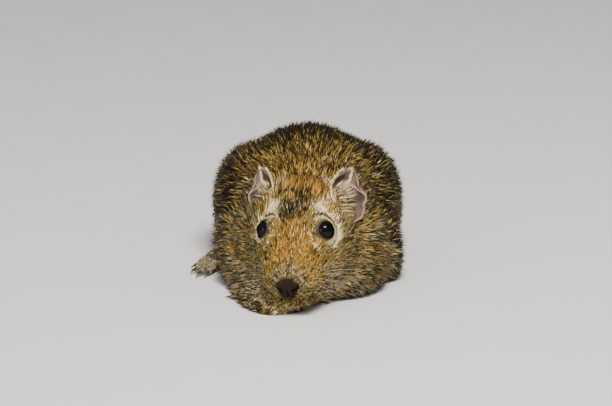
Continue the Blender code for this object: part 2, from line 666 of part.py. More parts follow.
def build():
    for old in list(bpy.data.objects):
        bpy.data.objects.remove(old)
    fur = material("agouti_coat", (0.20, 0.145, 0.06), 0.85)
    bare = material("ear_skin", (0.30, 0.23, 0.22), 0.6)
    foot = material("foot_skin", (0.30, 0.27, 0.26), 0.7)
    black = material("tail_black", (0.02, 0.018, 0.016), 0.8)
    cornea = material("eye", (0.006, 0.005, 0.005), 0.05, 1.0)

    rows, masses = body_rows(), head_masses() + trunk_masses()
    head = skin_body("head", rows, np.linspace(0, HEAD_END, 26), masses, 34, flat_end=True)
    neck = skin_body("neck", rows, np.linspace(HEAD_END, NECK_END, 4), masses, 34, flat_start=True, flat_end=True)
    torso = skin_body("torso", rows, np.linspace(NECK_END, TRUNK_END, 18), masses, 32, flat_start=True)
    for cutter in (mouth_line(), philtrum(), nostril(-1), nostril(1)):
        boolean(head, [cutter], "DIFFERENCE")

    names = {-1: "right", 1: "left"}
    for side in (-1, 1):
        thigh, foreleg = make_thigh(side), make_foreleg(side)
        foot_cut = lambda: hind_foot(side, FOOT_SPREAD[side], HEEL[side], GAP)
        paw_cut = lambda: fore_paw(side, WRIST[side], PAW_SPREAD[side], GAP)
        for target, cutters in (
            (torso, [make_thigh(side, GAP), *foot_cut(), make_foreleg(side, GAP)]),
            (neck, [make_thigh(side, GAP), *foot_cut(), make_foreleg(side, GAP), paw_hollow(side)]),
            (head, [make_foreleg(side, GAP), paw_hollow(side)]),
            (thigh, foot_cut()),
            (foreleg, [make_thigh(side, GAP), *foot_cut(), *paw_cut()]),
        ):
            for cutter in cutters:
                boolean(target, [cutter], "DIFFERENCE", "MANIFOLD")
        sole, *others = hind_foot(side, FOOT_SPREAD[side], HEEL[side])
        finish(boolean(sole, others, "UNION", "MANIFOLD"), "hindfoot_" + names[side], foot)
        palm, *others = fore_paw(side, WRIST[side], PAW_SPREAD[side])
        finish(boolean(palm, others, "UNION", "MANIFOLD"), "forepaw_" + names[side], foot)
        finish(thigh, "thigh_" + names[side], fur)
        finish(foreleg, "foreleg_" + names[side], fur)
        for target in (head, neck):
            boolean(target, [ear_hollow(side)], "DIFFERENCE")
        boolean(head, [eye_lids(side)], "UNION")
        boolean(head, [ball("socket", eye_centre(side), EYE_RADIUS + GAP)], "DIFFERENCE")
        finish(boolean(make_ear(side), [ear_root(side)], "UNION"), "ear_" + names[side], bare)
        finish(ball("eye", eye_centre(side), EYE_RADIUS), "eye_" + names[side], cornea)

    boolean(torso, [tail_piece(-0.03, 0.3, 12, GAP)], "DIFFERENCE", "MANIFOLD")
    finish(head, "head", fur)
    finish(neck, "neck", fur)
    finish(torso, "torso", fur)
    middle, step = BRUSH_START / 2, GAP / TAIL_LENGTH
    finish(tail_piece(-0.02, middle, 12), "tail_base", fur)
    finish(tail_piece(middle + step, BRUSH_START, 9), "tail_mid", fur)
    finish(tail_brush(), "tail_tuft", black)


build()
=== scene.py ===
import math

import bpy
import numpy as np
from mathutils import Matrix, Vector


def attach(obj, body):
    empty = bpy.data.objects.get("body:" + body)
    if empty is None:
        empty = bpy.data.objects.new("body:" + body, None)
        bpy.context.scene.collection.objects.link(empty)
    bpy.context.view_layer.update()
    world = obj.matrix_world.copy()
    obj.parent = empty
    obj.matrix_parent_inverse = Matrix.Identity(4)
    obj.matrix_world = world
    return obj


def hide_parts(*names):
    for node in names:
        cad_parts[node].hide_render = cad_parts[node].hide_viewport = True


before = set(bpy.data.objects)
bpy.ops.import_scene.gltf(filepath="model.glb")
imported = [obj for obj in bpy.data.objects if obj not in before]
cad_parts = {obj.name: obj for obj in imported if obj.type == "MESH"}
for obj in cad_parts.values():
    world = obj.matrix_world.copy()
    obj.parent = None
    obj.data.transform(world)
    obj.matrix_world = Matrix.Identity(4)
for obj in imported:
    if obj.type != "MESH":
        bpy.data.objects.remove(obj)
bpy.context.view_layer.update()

# Shapes are worked out in millimetres and become metres when a mesh is made.
# +X is the degu's left, -Y is forward, z = 0 is the floor.
mm = 0.001
sideNames = {-1: "Right", 1: "Left"}
nodeSides = {-1: "_right", 1: "_left"}


# Small helpers for arrays and meshes

def unit(vectors):
    return vectors / (np.linalg.norm(vectors, axis=-1, keepdims=True) + 1e-9)


def ramp(values, low, high):
    # 0 below low, 1 above high, a soft S between
    t = np.clip((values - low) / (high - low), 0, 1)
    return t * t * (3 - 2 * t)


def turned(yaw, pitch, roll=0.0):
    # rows are the turned x, y and z axes: roll about y, then pitch about x, then yaw about z
    y, p, r = (math.radians(a) for a in (-yaw, pitch, roll))
    aboutZ = np.array([[math.cos(y), -math.sin(y), 0], [math.sin(y), math.cos(y), 0], [0, 0, 1]])
    aboutX = np.array([[1, 0, 0], [0, math.cos(p), -math.sin(p)], [0, math.sin(p), math.cos(p)]])
    aboutY = np.array([[math.cos(r), 0, -math.sin(r)], [0, 1, 0], [math.sin(r), 0, math.cos(r)]])
    return (aboutZ @ aboutX @ aboutY).T


def smoothRow(rows, at):
    # Catmull-Rom curve through rows, read at each value of at, where 1.0 is one row on
    rows = np.array(rows, float)
    at = np.clip(np.asarray(at, float), 0, len(rows) - 1 - 1e-9)
    first = at.astype(int)
    t = (at - first)[:, None]
    a, b, c, d = (rows[np.clip(first + k, 0, len(rows) - 1)] for k in (-1, 0, 1, 2))
    return 0.5 * (2 * b + (c - a) * t + (2 * a - 5 * b + 4 * c - d) * t**2 + (3 * b - a - 3 * c + d) * t**3)


def softNoise(points, scale, seed):
    # sum of six plane waves in random directions, about -1 to 1, with features about scale mm across
    draw = np.random.default_rng(seed)
    waves = unit(draw.normal(size=(6, 3))) * draw.uniform(0.7, 1.4, (6, 1)) * 2 * math.pi / scale
    return np.sin(points @ waves.T + draw.uniform(0, 6.28, 6)).sum(axis=-1) / 2.6


def gridFaces(rows, columns, closed, start=0):
    # quads of a rows x columns grid; closed joins the last column to the first
    r, c = np.meshgrid(np.arange(rows - 1), np.arange(columns if closed else columns - 1), indexing="ij")
    a, b = start + r * columns + c, start + r * columns + (c + 1) % columns
    return np.stack([a, b, b + columns, a + columns], axis=-1).reshape(-1, 4)


def makeMesh(name, points, faces, attributes=None, uv=None):
    # faces is a list of arrays, each of triangles or of quads; points in mm
    mesh = bpy.data.meshes.new(name)
    sizes = np.concatenate([np.full(len(f), f.shape[1], np.int32) for f in faces])
    corners = np.concatenate([f.reshape(-1) for f in faces]).astype(np.int32)
    mesh.vertices.add(len(points))
    mesh.vertices.foreach_set("co", (points * mm).astype(np.float32).reshape(-1))
    mesh.loops.add(len(corners))
    mesh.loops.foreach_set("vertex_index", corners)
    mesh.polygons.add(len(sizes))
    mesh.polygons.foreach_set("loop_start", np.concatenate([[0], np.cumsum(sizes)[:-1]]).astype(np.int32))
    for key, values in (attributes or {}).items():
        mesh.attributes.new(key, "FLOAT", "POINT").data.foreach_set("value", values.astype(np.float32))
    if uv is not None:
        layer = mesh.uv_layers.new(name="OFBake")
        layer.data.foreach_set("uv", uv[corners].astype(np.float32).reshape(-1))
    mesh.update(calc_edges=True)
    mesh.shade_smooth()
    made = bpy.data.objects.new(name, mesh)
    bpy.context.scene.collection.objects.link(made)
    return made


def place(piece, slot, material, *nodes):
    piece.data.materials.append(material)
    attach(piece, "root")
    if nodes:
        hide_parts(*nodes)
    return piece


def tubeRings(path, radii, sides, flat=1.0):
    # rings square to a path; flat squashes their height
    along = unit(np.gradient(path, axis=0))
    side = unit(np.cross(along, (0, 0, 1.0)))
    up = np.cross(side, along)
    angles = np.linspace(0, 2 * math.pi, sides, endpoint=False)
    ring = np.cos(angles)[:, None] * side[:, None] + flat * np.sin(angles)[:, None] * up[:, None]
    return path[:, None] + np.asarray(radii)[:, None, None] * ring


def cappedTube(rings, start=0):
    # points and faces of rings closed at both ends by a point
    rows, sides = rings.shape[:2]
    points = np.vstack([rings.reshape(-1, 3), rings[0].mean(axis=0), rings[-1].mean(axis=0)])
    i = np.arange(sides)
    j = (i + 1) % sides
    first = np.stack([np.full(sides, rows * sides), j, i], axis=1)
    end = (rows - 1) * sides
    last = np.stack([np.full(sides, rows * sides + 1), end + i, end + j], axis=1)
    return points, gridFaces(rows, sides, True, start), np.vstack([first, last]) + start


def joinTubes(name, tubes):
    # several ring stacks as one mesh
    points, quads, triangles, start = [], [], [], 0
    for rings in tubes:
        p, q, t = cappedTube(rings, start)
        points.append(p)
        quads.append(q)
        triangles.append(t)
        start += len(p)
    return makeMesh(name, np.vstack(points), [np.vstack(quads), np.vstack(triangles)])


# The body's form: muscle masses that melt into one another, as in the solids

bodyForm = {
    "noseTip": (-7.6, -60.0, 14.0),
    "headYaw": -12.0, "headPitch": 31.0, "headRoll": 4.0,
    "blend": 2.2, "fineBlend": 0.9,
    "haunchHalfWidth": 41.0, "backHeight": 58.5,
    "headRings": 190, "trunkRings": 130, "around": 176,
    "floorSkin": 0.6,      # height of the skin's underside
}
headAxes = turned(-bodyForm["headYaw"], bodyForm["headPitch"], bodyForm["headRoll"])
noseTip = np.array(bodyForm["noseTip"])


def onHead(point):
    # from the head's own frame, nose tip at 0, +y back along the skull, to the world
    return noseTip + np.asarray(point, float) @ headAxes


def inHead(points):
    return (points - noseTip) @ headAxes.T


def headMasses():
    broad = [((0, 31, 1), (14.5, 18, 12.5)), ((0, 12.6, -3.6), (9.2, 12.4, 8.2)),
             ((0, 17, 0.8), (8.5, 13, 8.6)), ((0, 13.5, -10.2), (7.5, 12, 5.4)), ((0, 43, 0), (17, 12, 14))]
    pairs = [((7.5, 17, -5), (7, 12.5, 8.5)), ((8.5, 24, 6.5), (5.5, 8, 4.5)),
             ((10.5, 29, -8), (11.5, 15, 12))]
    fine = [((0, 2.2, -0.8), (4.9, 3.5, 3.2)), ((5.0, 6.2, -4.9), (5.2, 6.4, 4.2)),
            ((-5.0, 6.2, -4.9), (5.2, 6.4, 4.2)), ((0, 4.7, -11), (5.0, 4.6, 2.5))]
    broad += [((side * x, y, z), r) for (x, y, z), r in pairs for side in (-1, 1)]
    return ([(onHead(c), np.array(r), headAxes, False) for c, r in broad]
            + [(onHead(c), np.array(r), headAxes, True) for c, r in fine])


def trunkMasses():
    outer, belly = bodyForm["haunchHalfWidth"], bodyForm["backHeight"] - 25
    found = [((-1, -24, 26), (22, 17, 20), (8, 8)), ((-16, -31.5, 0), (12.8, 25.5, 12.5), (-9, 0)),
             ((-4, -33, 8), (16, 18, 10.5), (0, 0)), ((11, -23, 9), (22, 18, 11.5), (-24, 0)),
             ((-13, -13, 20), (16.5, 18, 20), (0, 0)), ((17.5, -15, 20), (17, 18, 20), (0, 0)),
             ((1.5, -2, 24.5), (30, 30, 28), (0, 0)), ((1, 28, 25), (32, 40, belly), (0, 0)),
             ((-18, 37, 33), (17, 25, 15.5), (0, 0)), ((20, 37, 33), (17, 25, 15.5), (0, 0))]
    for side in (-1, 1):
        x = side * outer + 0.7
        found += [((x - side * 14.5, 36, 22), (14, 27, 23), (side * 4, 0)),
                  ((x - side * 11.5, 10, 14), (10, 15, 13.5), (side * 8, -6))]
    return [(np.array(c, float), np.array(r, float), turned(*way), False) for c, r, way in found]


forelegRows = {   # x, y, z and radius down each leg, by side
    -1: [(-22.5, -2, 17, 7.5), (-26, -8, 12, 7.8), (-27, -14, 7.5, 6.8),
         (-24, -24, 5.2, 5.0), (-20.5, -30, 3.6, 3.5)],
    1: [(27, 3, 17, 7.5), (31, -2, 12, 7.8), (31, -8, 7.5, 6.8),
        (25, -15, 5.2, 5.0), (18.3, -19.3, 3.6, 3.5)],
}


def forelegMasses():
    # a chain of balls along each foreleg
    found = []
    for side in (-1, 1):
        for x, y, z, r in smoothRow(forelegRows[side], np.linspace(0, 4, 7)):
            found.append((np.array([x, y, z]), np.full(3, r), np.eye(3), False))
    return found


def field(points, masses):
    # rough distance in mm to the blended surface, negative inside: each ellipsoid's distance is
    # w (w - 1) / slope, with w its scaled radius, and they are joined by -b log(sum exp(-d / b))
    broad, small = 0.0, 0.0
    blend, fineBlend = bodyForm["blend"], bodyForm["fineBlend"]
    for centre, radii, axes, fine in masses:
        local = (points - centre) @ axes.T
        whole = np.sqrt(((local / radii) ** 2).sum(axis=-1)) + 1e-9
        slope = np.sqrt(((local / radii**2) ** 2).sum(axis=-1)) + 1e-9
        distance = whole * (whole - 1) / slope
        if fine:
            small = small + np.exp(np.clip(-distance / fineBlend, -60, 60))
        else:
            broad = broad + np.exp(np.clip(-distance / blend, -60, 60))
    if np.ndim(small):
        broad = broad + np.exp(np.clip(fineBlend * np.log(small + 1e-26) / blend, -60, 60))
    return -blend * np.log(broad + 1e-26)


def reach(origins, rays, masses, level, longest=62.0, samples=56):
    # how far each ray goes before it leaves the masses for the last time
    steps = np.linspace(0, longest, samples)
    inside = field(origins[:, None] + steps[:, None] * rays[:, None], masses) < level[:, None]
    last = samples - 1 - np.argmax(inside[:, ::-1], axis=1)
    return bisect(origins, rays, masses, level, steps[last], steps[last] + steps[1], 12)


def bisect(origins, rays, masses, level, near, far, turns):
    for _ in range(turns):
        middle = (near + far) / 2
        within = field(origins + middle[:, None] * rays, masses) < level
        near = np.where(within, middle, near)
        far = np.where(within, far, middle)
    return near


def bodyRows():
    # rings down the body, nose to rump: x, y, z, pitch, yaw and lean of each
    return [
        (*onHead((0, 8.5, -5.5)), 31, 12, 85), (*onHead((0, 8.5, -5.5)), 31, 12, 54),
        (*onHead((0, 8.5, -5.5)), 29, 12, 25), (*onHead((0, 11, -4.5)), 22, 12, 6),
        (*onHead((0, 17, -3)), 8, 12, 0), (*onHead((0, 26, -2)), -5, 12, 0),
        (*onHead((0, 33, -1)), -14, 11, 0), (-2.5, -25, 28, -18, 9, 0), (-0.5, -12, 29, -13, 4, 0),
        (1.5, 6, 29, -5, 0, 0), (1.0, 28, 28, 0, 0, 0), (0.6, 46, 25, 0, 0, -4),
        (0.4, 52, 23, 0, 0, -32), (0.4, 54, 23, 0, 0, -60), (0.4, 54, 23, 0, 0, -86),
    ]


def raysAt(at, around):
    found = smoothRow(bodyRows(), at)
    axes = np.array([turned(yaw, pitch) for pitch, yaw in found[:, 3:5]])
    lean = np.radians(found[:, 5])[:, None, None]
    angles = np.linspace(0, 2 * math.pi, around, endpoint=False)
    rays = np.cos(angles)[:, None] * axes[:, None, 0] + np.sin(angles)[:, None] * axes[:, None, 2]
    rays = np.cos(lean) * rays - np.sin(lean) * axes[:, None, 1]
    return np.repeat(found[:, :3], around, axis=0), rays.reshape(-1, 3)


coatDepth = {   # how deep the skin lies under the tips of the coat, along the body's rings, in mm
    "ring": (0, 1.6, 3.2, 4.5, 6.0, 7.5, 9.0, 12.0, 14.0),
    "depth": (0.1, 0.35, 0.9, 1.2, 1.7, 2.4, 3.0, 3.0, 2.8),
    "under": 0.5,   # share of it left on the underside
}


def skinGrid():
    # rays from rings along the inner line, each stopped where the field falls to minus the coat's depth
    masses = headMasses() + trunkMasses() + forelegMasses()
    heads = np.linspace(0, 7.4, bodyForm["headRings"], endpoint=False)
    at = np.concatenate([heads, np.linspace(7.4, 14, bodyForm["trunkRings"])])
    around = bodyForm["around"]

    def levels(at, rays):
        depth = np.repeat(np.interp(at, coatDepth["ring"], coatDepth["depth"]), len(rays) // len(at))
        return -depth * (1 - (1 - coatDepth["under"]) * ramp(-rays[:, 2], 0.3, 0.9))

    coarseAt = np.linspace(0, 14, 113)
    origins, rays = raysAt(coarseAt, around // 2)
    coarse = reach(origins, rays, masses, levels(coarseAt, rays)).reshape(len(coarseAt), -1)
    # the coarse lengths are spread to the fine grid and then made exact
    spread = np.array([np.interp(at, coarseAt, column) for column in coarse.T]).T
    spread = np.stack([spread, (spread + np.roll(spread, -1, axis=1)) / 2], axis=2).reshape(-1)
    origins, rays = raysAt(at, around)
    lengths = bisect(origins, rays, masses, levels(at, rays), np.maximum(spread - 2.5, 0), spread + 2.5, 12)
    down = np.minimum(rays[:, 2], -1e-6)
    floor = (origins[:, 2] - bodyForm["floorSkin"]) / -down
    lengths = np.minimum(lengths, np.where(rays[:, 2] < -1e-4, floor, 99))
    return (origins + lengths[:, None] * rays).reshape(len(at), around, 3), at


def gridNormals(grid):
    around = np.roll(grid, -1, axis=1) - np.roll(grid, 1, axis=1)
    return unit(np.cross(np.gradient(grid, axis=0), around))


# The finer forms of the face, cut or raised on the skin's grid

faceForm = {
    "mouthHeight": -6.4, "mouthDip": 0.6, "mouthDepth": 1.3, "mouthHalfWidth": 0.42, "mouthAngle": 60,
    "philtrumDepth": 0.8, "philtrumHalfWidth": 0.32,
    "nostrilDepth": 1.9, "nostrilHalfWidth": 0.15,
    "padHalfWidth": 5.3, "padHeight": 3.3, "padMiddle": 0.6, "lipHalfWidth": 4.3, "lipLow": -5.9,
}


def noseShare(local):
    # 1 on bare skin, 0 on fur: a wide rounded pad that narrows down to the middle of the upper lip
    x, y, z = local[..., 0], local[..., 1], local[..., 2]
    high = z - faceForm["padMiddle"]
    width = faceForm["padHalfWidth"] * (1 - 0.12 * ramp(high, 0.8, 3.2))
    width = width + (faceForm["lipHalfWidth"] - width) * ramp(-high, 1.2, 3.0)
    below = faceForm["padMiddle"] - faceForm["lipLow"]
    tall = np.where(high > 0, high / faceForm["padHeight"], high / below)
    power = np.where(high > 0, 2.0, 3.2)
    pad = (np.abs(x / width) ** power + np.abs(tall) ** power) ** (1 / power)
    return (1 - ramp(pad, 0.86, 1.1)) * (1 - ramp(y, 3.0, 4.6))


def mouthDistance(local):
    # height above the line of the mouth, and how near the line's middle
    angle = np.arctan2(local[..., 0], 7 - local[..., 1])
    line = faceForm["mouthHeight"] - faceForm["mouthDip"] * np.cos(3 * angle)
    share = 1 - ramp(np.abs(np.degrees(angle)), faceForm["mouthAngle"] - 14, faceForm["mouthAngle"])
    return local[..., 2] - line, share * (local[..., 1] < 9)


def nostrilShare(local):
    # a comma on each side: in directions seen from inside the pad it follows v = -0.30 + 0.75 (h - 0.3)^2
    deep = np.maximum(3.5 - local[..., 1], 0.3)
    h = (np.abs(local[..., 0]) - 0.8) / deep
    v = (local[..., 2] - 0.2) / deep
    line = -0.30 + 0.75 * (h - 0.3) ** 2
    width = faceForm["nostrilHalfWidth"] * (1 - 0.55 * ramp(h, 0.45, 1.1))
    ends = ramp(h, 0.12, 0.3) * (1 - ramp(h, 0.85, 1.15))
    return np.exp(-((v - line) / width) ** 2) * ends * (local[..., 1] < 3.2)


def shapeFace(grid):
    # grooves sink the skin along its normal by depth times exp(-(distance / half width)^2)
    local, normals = inHead(grid), gridNormals(grid)
    above, share = mouthDistance(local)
    mouth = faceForm["mouthDepth"] * share * np.exp(-(above / faceForm["mouthHalfWidth"]) ** 2)
    lips = 0.45 * share * np.exp(-((np.abs(above) - 0.95) / 0.6) ** 2)
    front = (local[..., 1] < 4) & (local[..., 2] < 0.5)
    philtrum = np.exp(-(local[..., 0] / faceForm["philtrumHalfWidth"]) ** 2) * ramp(above, 0.0, 0.8) * front
    philtrum *= faceForm["philtrumDepth"] * (1 - ramp(local[..., 2], -1.5, 0.2))
    nostril = faceForm["nostrilDepth"] * nostrilShare(local)
    nose = noseShare(local)
    wing = 0.5 * nose * np.exp(-((np.abs(local[..., 0]) - 3.3) / 1.3) ** 2) * ramp(local[..., 2], -1.0, 0.6)
    return grid + normals * (lips + wing + 0.25 * nose - mouth - philtrum - nostril)[..., None]


print("degu: working out the skin")
skin, ringAt = skinGrid()
skin = shapeFace(skin)
skinNormals = gridNormals(skin)
if (skinNormals * (skin - skin.mean(axis=1, keepdims=True))).sum(axis=-1).mean() < 0:
    skinNormals = -skinNormals


# Lie of the coat

coatLook = {
    "tufts": 215000, "quickShare": 0.3, "perPiece": 31000, "seed": 5,
    "distance": (2, 6, 12, 22, 34, 50, 75),          # from the nose tip, mm
    "length": (1.5, 2.4, 3.4, 4.8, 6.4, 8.2, 9.4),
    "width": (0.26, 0.34, 0.42, 0.46, 0.50, 0.54, 0.58),
    "density": (2.4, 1.9, 1.5, 1.35, 1.2, 1.0, 1.0),   # against the back's
    "locks": (2.3, 0.30), "strands": (1.0, 0.30),    # size in mm and how far their tips draw together
    "stray": 0.2, "guardShare": 0.10,
}
eyeForm = {
    "place": (12.5, 24.3, 7.6), "radius": 4.15,
    # polar angle of the lid's edge from the eye's axis, by turn from the front over the top, in degrees
    "turn": (-180, -150, -120, -90, -60, -30, 0, 25, 48, 72, 98, 125, 150),
    "opening": (46, 46, 48, 52, 58, 65, 71, 76, 78, 74, 64, 53, 47),
    "lidEnd": 6.8, "lidTufts": 2600,
}


def eyeCentre(side):
    x, y, z = eyeForm["place"]
    return onHead((side * x, y, z))


def eyeAxes(side):
    # forward, up and outward; outward is the way the head's surface faces there
    centre, steps = eyeCentre(side), np.eye(3) * 2
    rise = field(centre + steps, headMasses()) - field(centre - steps, headMasses())
    out = rise / np.linalg.norm(rise)
    forward = unit(-headAxes[1] + out * (headAxes[1] @ out))
    return forward, np.cross(forward, out) * side, out


eyes = {side: (eyeCentre(side), *eyeAxes(side)) for side in (-1, 1)}


# Markings, with painted shade low at the front: masks from 0 to 1 by place, the same for skin and coat

markings = {   # centre and reach in mm in the head's frame, and strength
    "warm": [((1, 13, 10), (7.5, 11, 6), 0.75), ((0, 45, 14), (14, 11, 8), 0.75),
             ((12.0, 17, 8), (2.2, 2.6, 3), 0.9), ((-6, 9, 6), (3, 4, 3), 0.5),
             ((7, 9, 6), (3, 4, 3), 0.5), ((0, 62, 7), (16, 10, 8), 0.35)],
    "dark": [((-1, 29.5, 13.5), (7.5, 8, 5), 0.6), ((-0.9, 36.2, 14.5), (1.9, 1.8, 3), 1.0),
             ((2.0, 33.8, 14.3), (1.4, 2.8, 3), 0.85), ((-4.6, 35.8, 14.0), (2.6, 1.2, 3), 0.7),
             ((-2.8, 54.8, 9), (3.6, 2.2, 4), 0.9), ((-6, 71.5, 2.8), (3.5, 3, 4), 0.6)],
    "grey": [((-0.5, 28, 13.5), (8, 8, 5), 0.9)],
}
palePairs = [((10.6, 30.9, 11.2), (4.6, 3.1, 3.6), 1.0), ((11.0, 25.5, 12.0), (1.3, 6.0, 2.2), 0.55),
             ((14.8, 18.6, 7.4), (3.6, 1.9, 2.8), 1.0), ((17.6, 23.5, 3.8), (2.2, 3.4, 2.2), 0.9),
             ((13.2, 41.5, 9.3), (2.3, 8.0, 3.0), 0.6), ((11.5, 50.5, 10.5), (3.4, 2.0, 3.0), 0.9),
             ((19.3, 24.5, 0.6), (1.8, 1.8, 2.0), 0.6)]


def blob(local, centre, reachMm):
    return np.exp(-(((local - np.array(centre)) / np.array(reachMm)) ** 2).sum(axis=-1) ** 1.5)


def markingAndShadeMasks(points):
    # points in the world, mm; the edges of the spots are broken by noise
    local = inHead(points) + 0.8 * np.stack([softNoise(points, 4.5, 3 + k) for k in range(3)], axis=-1)
    mirrored = local * np.where(local[..., :1] < 0, (-1, 1, 1), (1, 1, 1))
    found = {key: 1 - np.prod([1 - s * blob(local, c, r) for c, r, s in spots], axis=0)
             for key, spots in markings.items()}
    pale = 1 - np.prod([1 - s * blob(mirrored, c, r) for c, r, s in palePairs], axis=0)
    x, y, z = np.moveaxis(local, -1, 0)
    height = points[..., 2]
    chin = ramp(-z, 7.0, 9.5) * (1 - ramp(y, 8, 20))
    # low: the front near the floor, greyer as its own fur and darker as painted shade under the head and
    # chest
    low = (1 - ramp(height, 5, 17)) * (1 - ramp(points[..., 1], -12, 8))
    cheek = ramp(mirrored[..., 0], 9, 17) * (1 - ramp(z, 0, 9)) * (1 - ramp(y, 40, 60))
    muzzle = (1 - ramp(np.hypot(x, y), 4.5, 9)) * ramp(z, -7, 1)
    for centre, forward, up, out in eyes.values():
        offset = points - centre
        far = np.linalg.norm(offset, axis=-1)
        below = ramp(-(offset @ up + 0.4 * offset @ forward) / (far + 1e-6), -0.3, 0.5)
        pale = np.maximum(pale, (0.25 + 0.75 * below) * (1 - ramp(far, 6.6, 8.0)))
    behind = ramp(y, 38, 60)
    flank = ramp(np.abs(points[..., 0]), 12, 30) * behind
    top = ramp(height, 44, 55) * ramp(points[..., 1], 2, 22)
    # bars across the back: narrow along the body, broad across it
    bars = softNoise(points * (0.30, 1.0, 0.8), 7.5, 61) + 0.5 * softNoise(points, 3.2, 67)
    bars = ramp(bars, 0.25, 0.9) * behind
    found["pale"] = np.clip(np.maximum(pale, 0.1 * chin), 0, 1)
    grey = 0.6 * cheek + 0.9 * muzzle + 0.6 * flank + 0.6 * low
    found["grey"] = np.clip(np.maximum(found["grey"], grey), 0, 1)
    found["grey"] *= 1 - found["warm"]
    # 0.25 * low is painted shade under the head and chest
    dark = 1.0 * top + 0.5 * flank + 0.2 * muzzle + 0.5 * bars + 0.25 * low
    found["dark"] = np.clip(np.maximum(found["dark"], dark), 0, 1)
    return found


def lieOfCoat(points, normals):
    # away from the nose over the head, then back and down along the trunk, round the eyes, flat to the skin
    local = inHead(points)
    fromNose = unit(points - onHead((0, 2.0, -6.0)))
    back = np.stack([0.16 * np.sign(points[:, 0]) * np.abs(normals[:, 0]), np.ones(len(points)),
                     -0.55 * (1 - np.abs(normals[:, 2])) - 0.12], axis=-1)
    jowl = ramp(-local[:, 2], -2, 8) * ramp(local[:, 1], 8, 20) * (1 - ramp(local[:, 1], 45, 60))
    fromNose = fromNose + jowl[:, None] * np.array([0, 0, -0.55])
    share = ramp(local[:, 1], 42, 64)[:, None]
    way = unit(fromNose * (1 - share) + unit(back) * share)
    for centre, forward, up, out in eyes.values():
        offset = points - centre
        near = np.linalg.norm(offset, axis=1) < 14
        offset = offset - out * (offset @ out)[:, None]
        far = np.linalg.norm(offset, axis=1)
        inward = np.maximum(-(way * unit(offset)).sum(axis=1), 0)
        turn = (0.5 * np.exp(-((far / 6.0) ** 2)) + 2.6 * inward * np.exp(-((far / 8.5) ** 4))) * near
        way = way + turn[:, None] * unit(offset)
    way = way - normals * (way * normals).sum(axis=1)[:, None]
    return unit(way)


def buildTufts(roots, normals, ways, lengths, widths, lifts, draw, droop=0.5):
    # a tuft is a root point, a flat triangle at two fifths of its length and a tip: six triangles, bent once
    count = len(roots)
    side = np.cross(normals, ways)
    rise, fall = np.sin(lifts)[:, None], np.sin(lifts * droop)[:, None]
    middle = roots + lengths[:, None] * 0.42 * (ways * np.sqrt(1 - rise**2) + normals * rise)
    tips = middle + lengths[:, None] * 0.58 * (ways * np.sqrt(1 - fall**2) + normals * fall)
    tips += side * (draw.normal(0, 0.06, count) * lengths)[:, None]
    half = widths[:, None] / 2
    turn = draw.uniform(-0.7, 0.7, count)[:, None]
    flat = side * np.cos(turn) + normals * np.sin(turn)
    thick = normals * np.cos(turn) - side * np.sin(turn)
    return np.stack([roots - normals * 0.35, middle + flat * half - thick * half * 0.25,
                     middle - flat * half - thick * half * 0.25, middle + thick * half * 0.55, tips], axis=1)


tuftFaces = np.array([(0, 2, 1), (0, 3, 2), (0, 1, 3), (4, 1, 2), (4, 2, 3), (4, 3, 1)])
tuftAlong = np.array([0, 0.42, 0.42, 0.42, 1.0])
tuftPatch = np.array([(0.5, 0), (0, 0.42), (1, 0.42), (0.5, 0.42), (0.5, 1)]) * 0.003


def tuftObject(name, points, patches, tags):
    # points is tufts x 5 x 3; patches is each root's place on the unwrap, from 0 to 1
    count = len(points)
    points[..., 2] = np.maximum(points[..., 2], 0.06)
    faces = (np.arange(count)[:, None, None] * 5 + tuftFaces).reshape(-1, 3)
    uv = (0.002 + patches[:, None] * 0.992 + tuftPatch).reshape(-1, 2)
    attributes = {key: np.repeat(values, 5) for key, values in tags.items()}
    attributes["along"] = np.tile(tuftAlong, count)
    return makeMesh(name, points.reshape(-1, 3), [faces], attributes, uv)


def clumped(points, roots, size, pull, seed):
    # tips lean to the mean tip of their clump, and clumps are cells of a wobbled lattice, smaller on the face
    wobble = np.stack([softNoise(roots, 3.1, seed + k) for k in range(3)], axis=-1)
    kind = np.round(np.interp(np.linalg.norm(inHead(roots), axis=1) + 2 * wobble[:, 0], (6, 46), (0, 3)))
    step = size * np.array([0.5, 0.68, 0.84, 1.0])[kind.astype(int)]
    cells = np.floor((roots + 0.5 * size * wobble) / step[:, None]).astype(np.int64)
    x, y, z = (cells * (73856093, 19349663, 83492791)).T
    keys = x ^ y ^ z ^ kind.astype(np.int64)
    _, clump, members = np.unique(keys, return_inverse=True, return_counts=True)
    mean = np.stack([np.bincount(clump, points[:, 4, k]) for k in range(3)], axis=-1) / members[:, None]
    gap = mean[clump] - points[:, 4]
    gap *= np.minimum(1, 2.5 / (np.linalg.norm(gap, axis=1) + 1e-6))[:, None]
    points[:, 4] += gap * pull
    points[:, 1:4] += (gap * pull * 0.3)[:, None]
    return points, np.random.default_rng(seed).uniform(0, 1, len(members))[clump]


def sampleGrid(grid, normals, weight, count, draw):
    # random places on a grid closed round its columns, in proportion to area times weight
    right = np.roll(grid, -1, axis=1)
    area = np.linalg.norm(np.cross((right - grid)[:-1], (grid[1:] - grid[:-1])), axis=-1)
    share = (area * (weight[:-1] + weight[1:]) / 2).reshape(-1)
    cell = draw.choice(len(share), count, p=share / share.sum())
    row, column = np.divmod(cell, grid.shape[1])
    s, t = draw.uniform(0, 1, (2, count, 1))
    after = (column + 1) % grid.shape[1]

    def between(values):
        return ((values[row, column] * (1 - s) + values[row, after] * s) * (1 - t)
                + (values[row + 1, column] * (1 - s) + values[row + 1, after] * s) * t)

    return between(grid), unit(between(normals)), row + t[:, 0], column + s[:, 0]


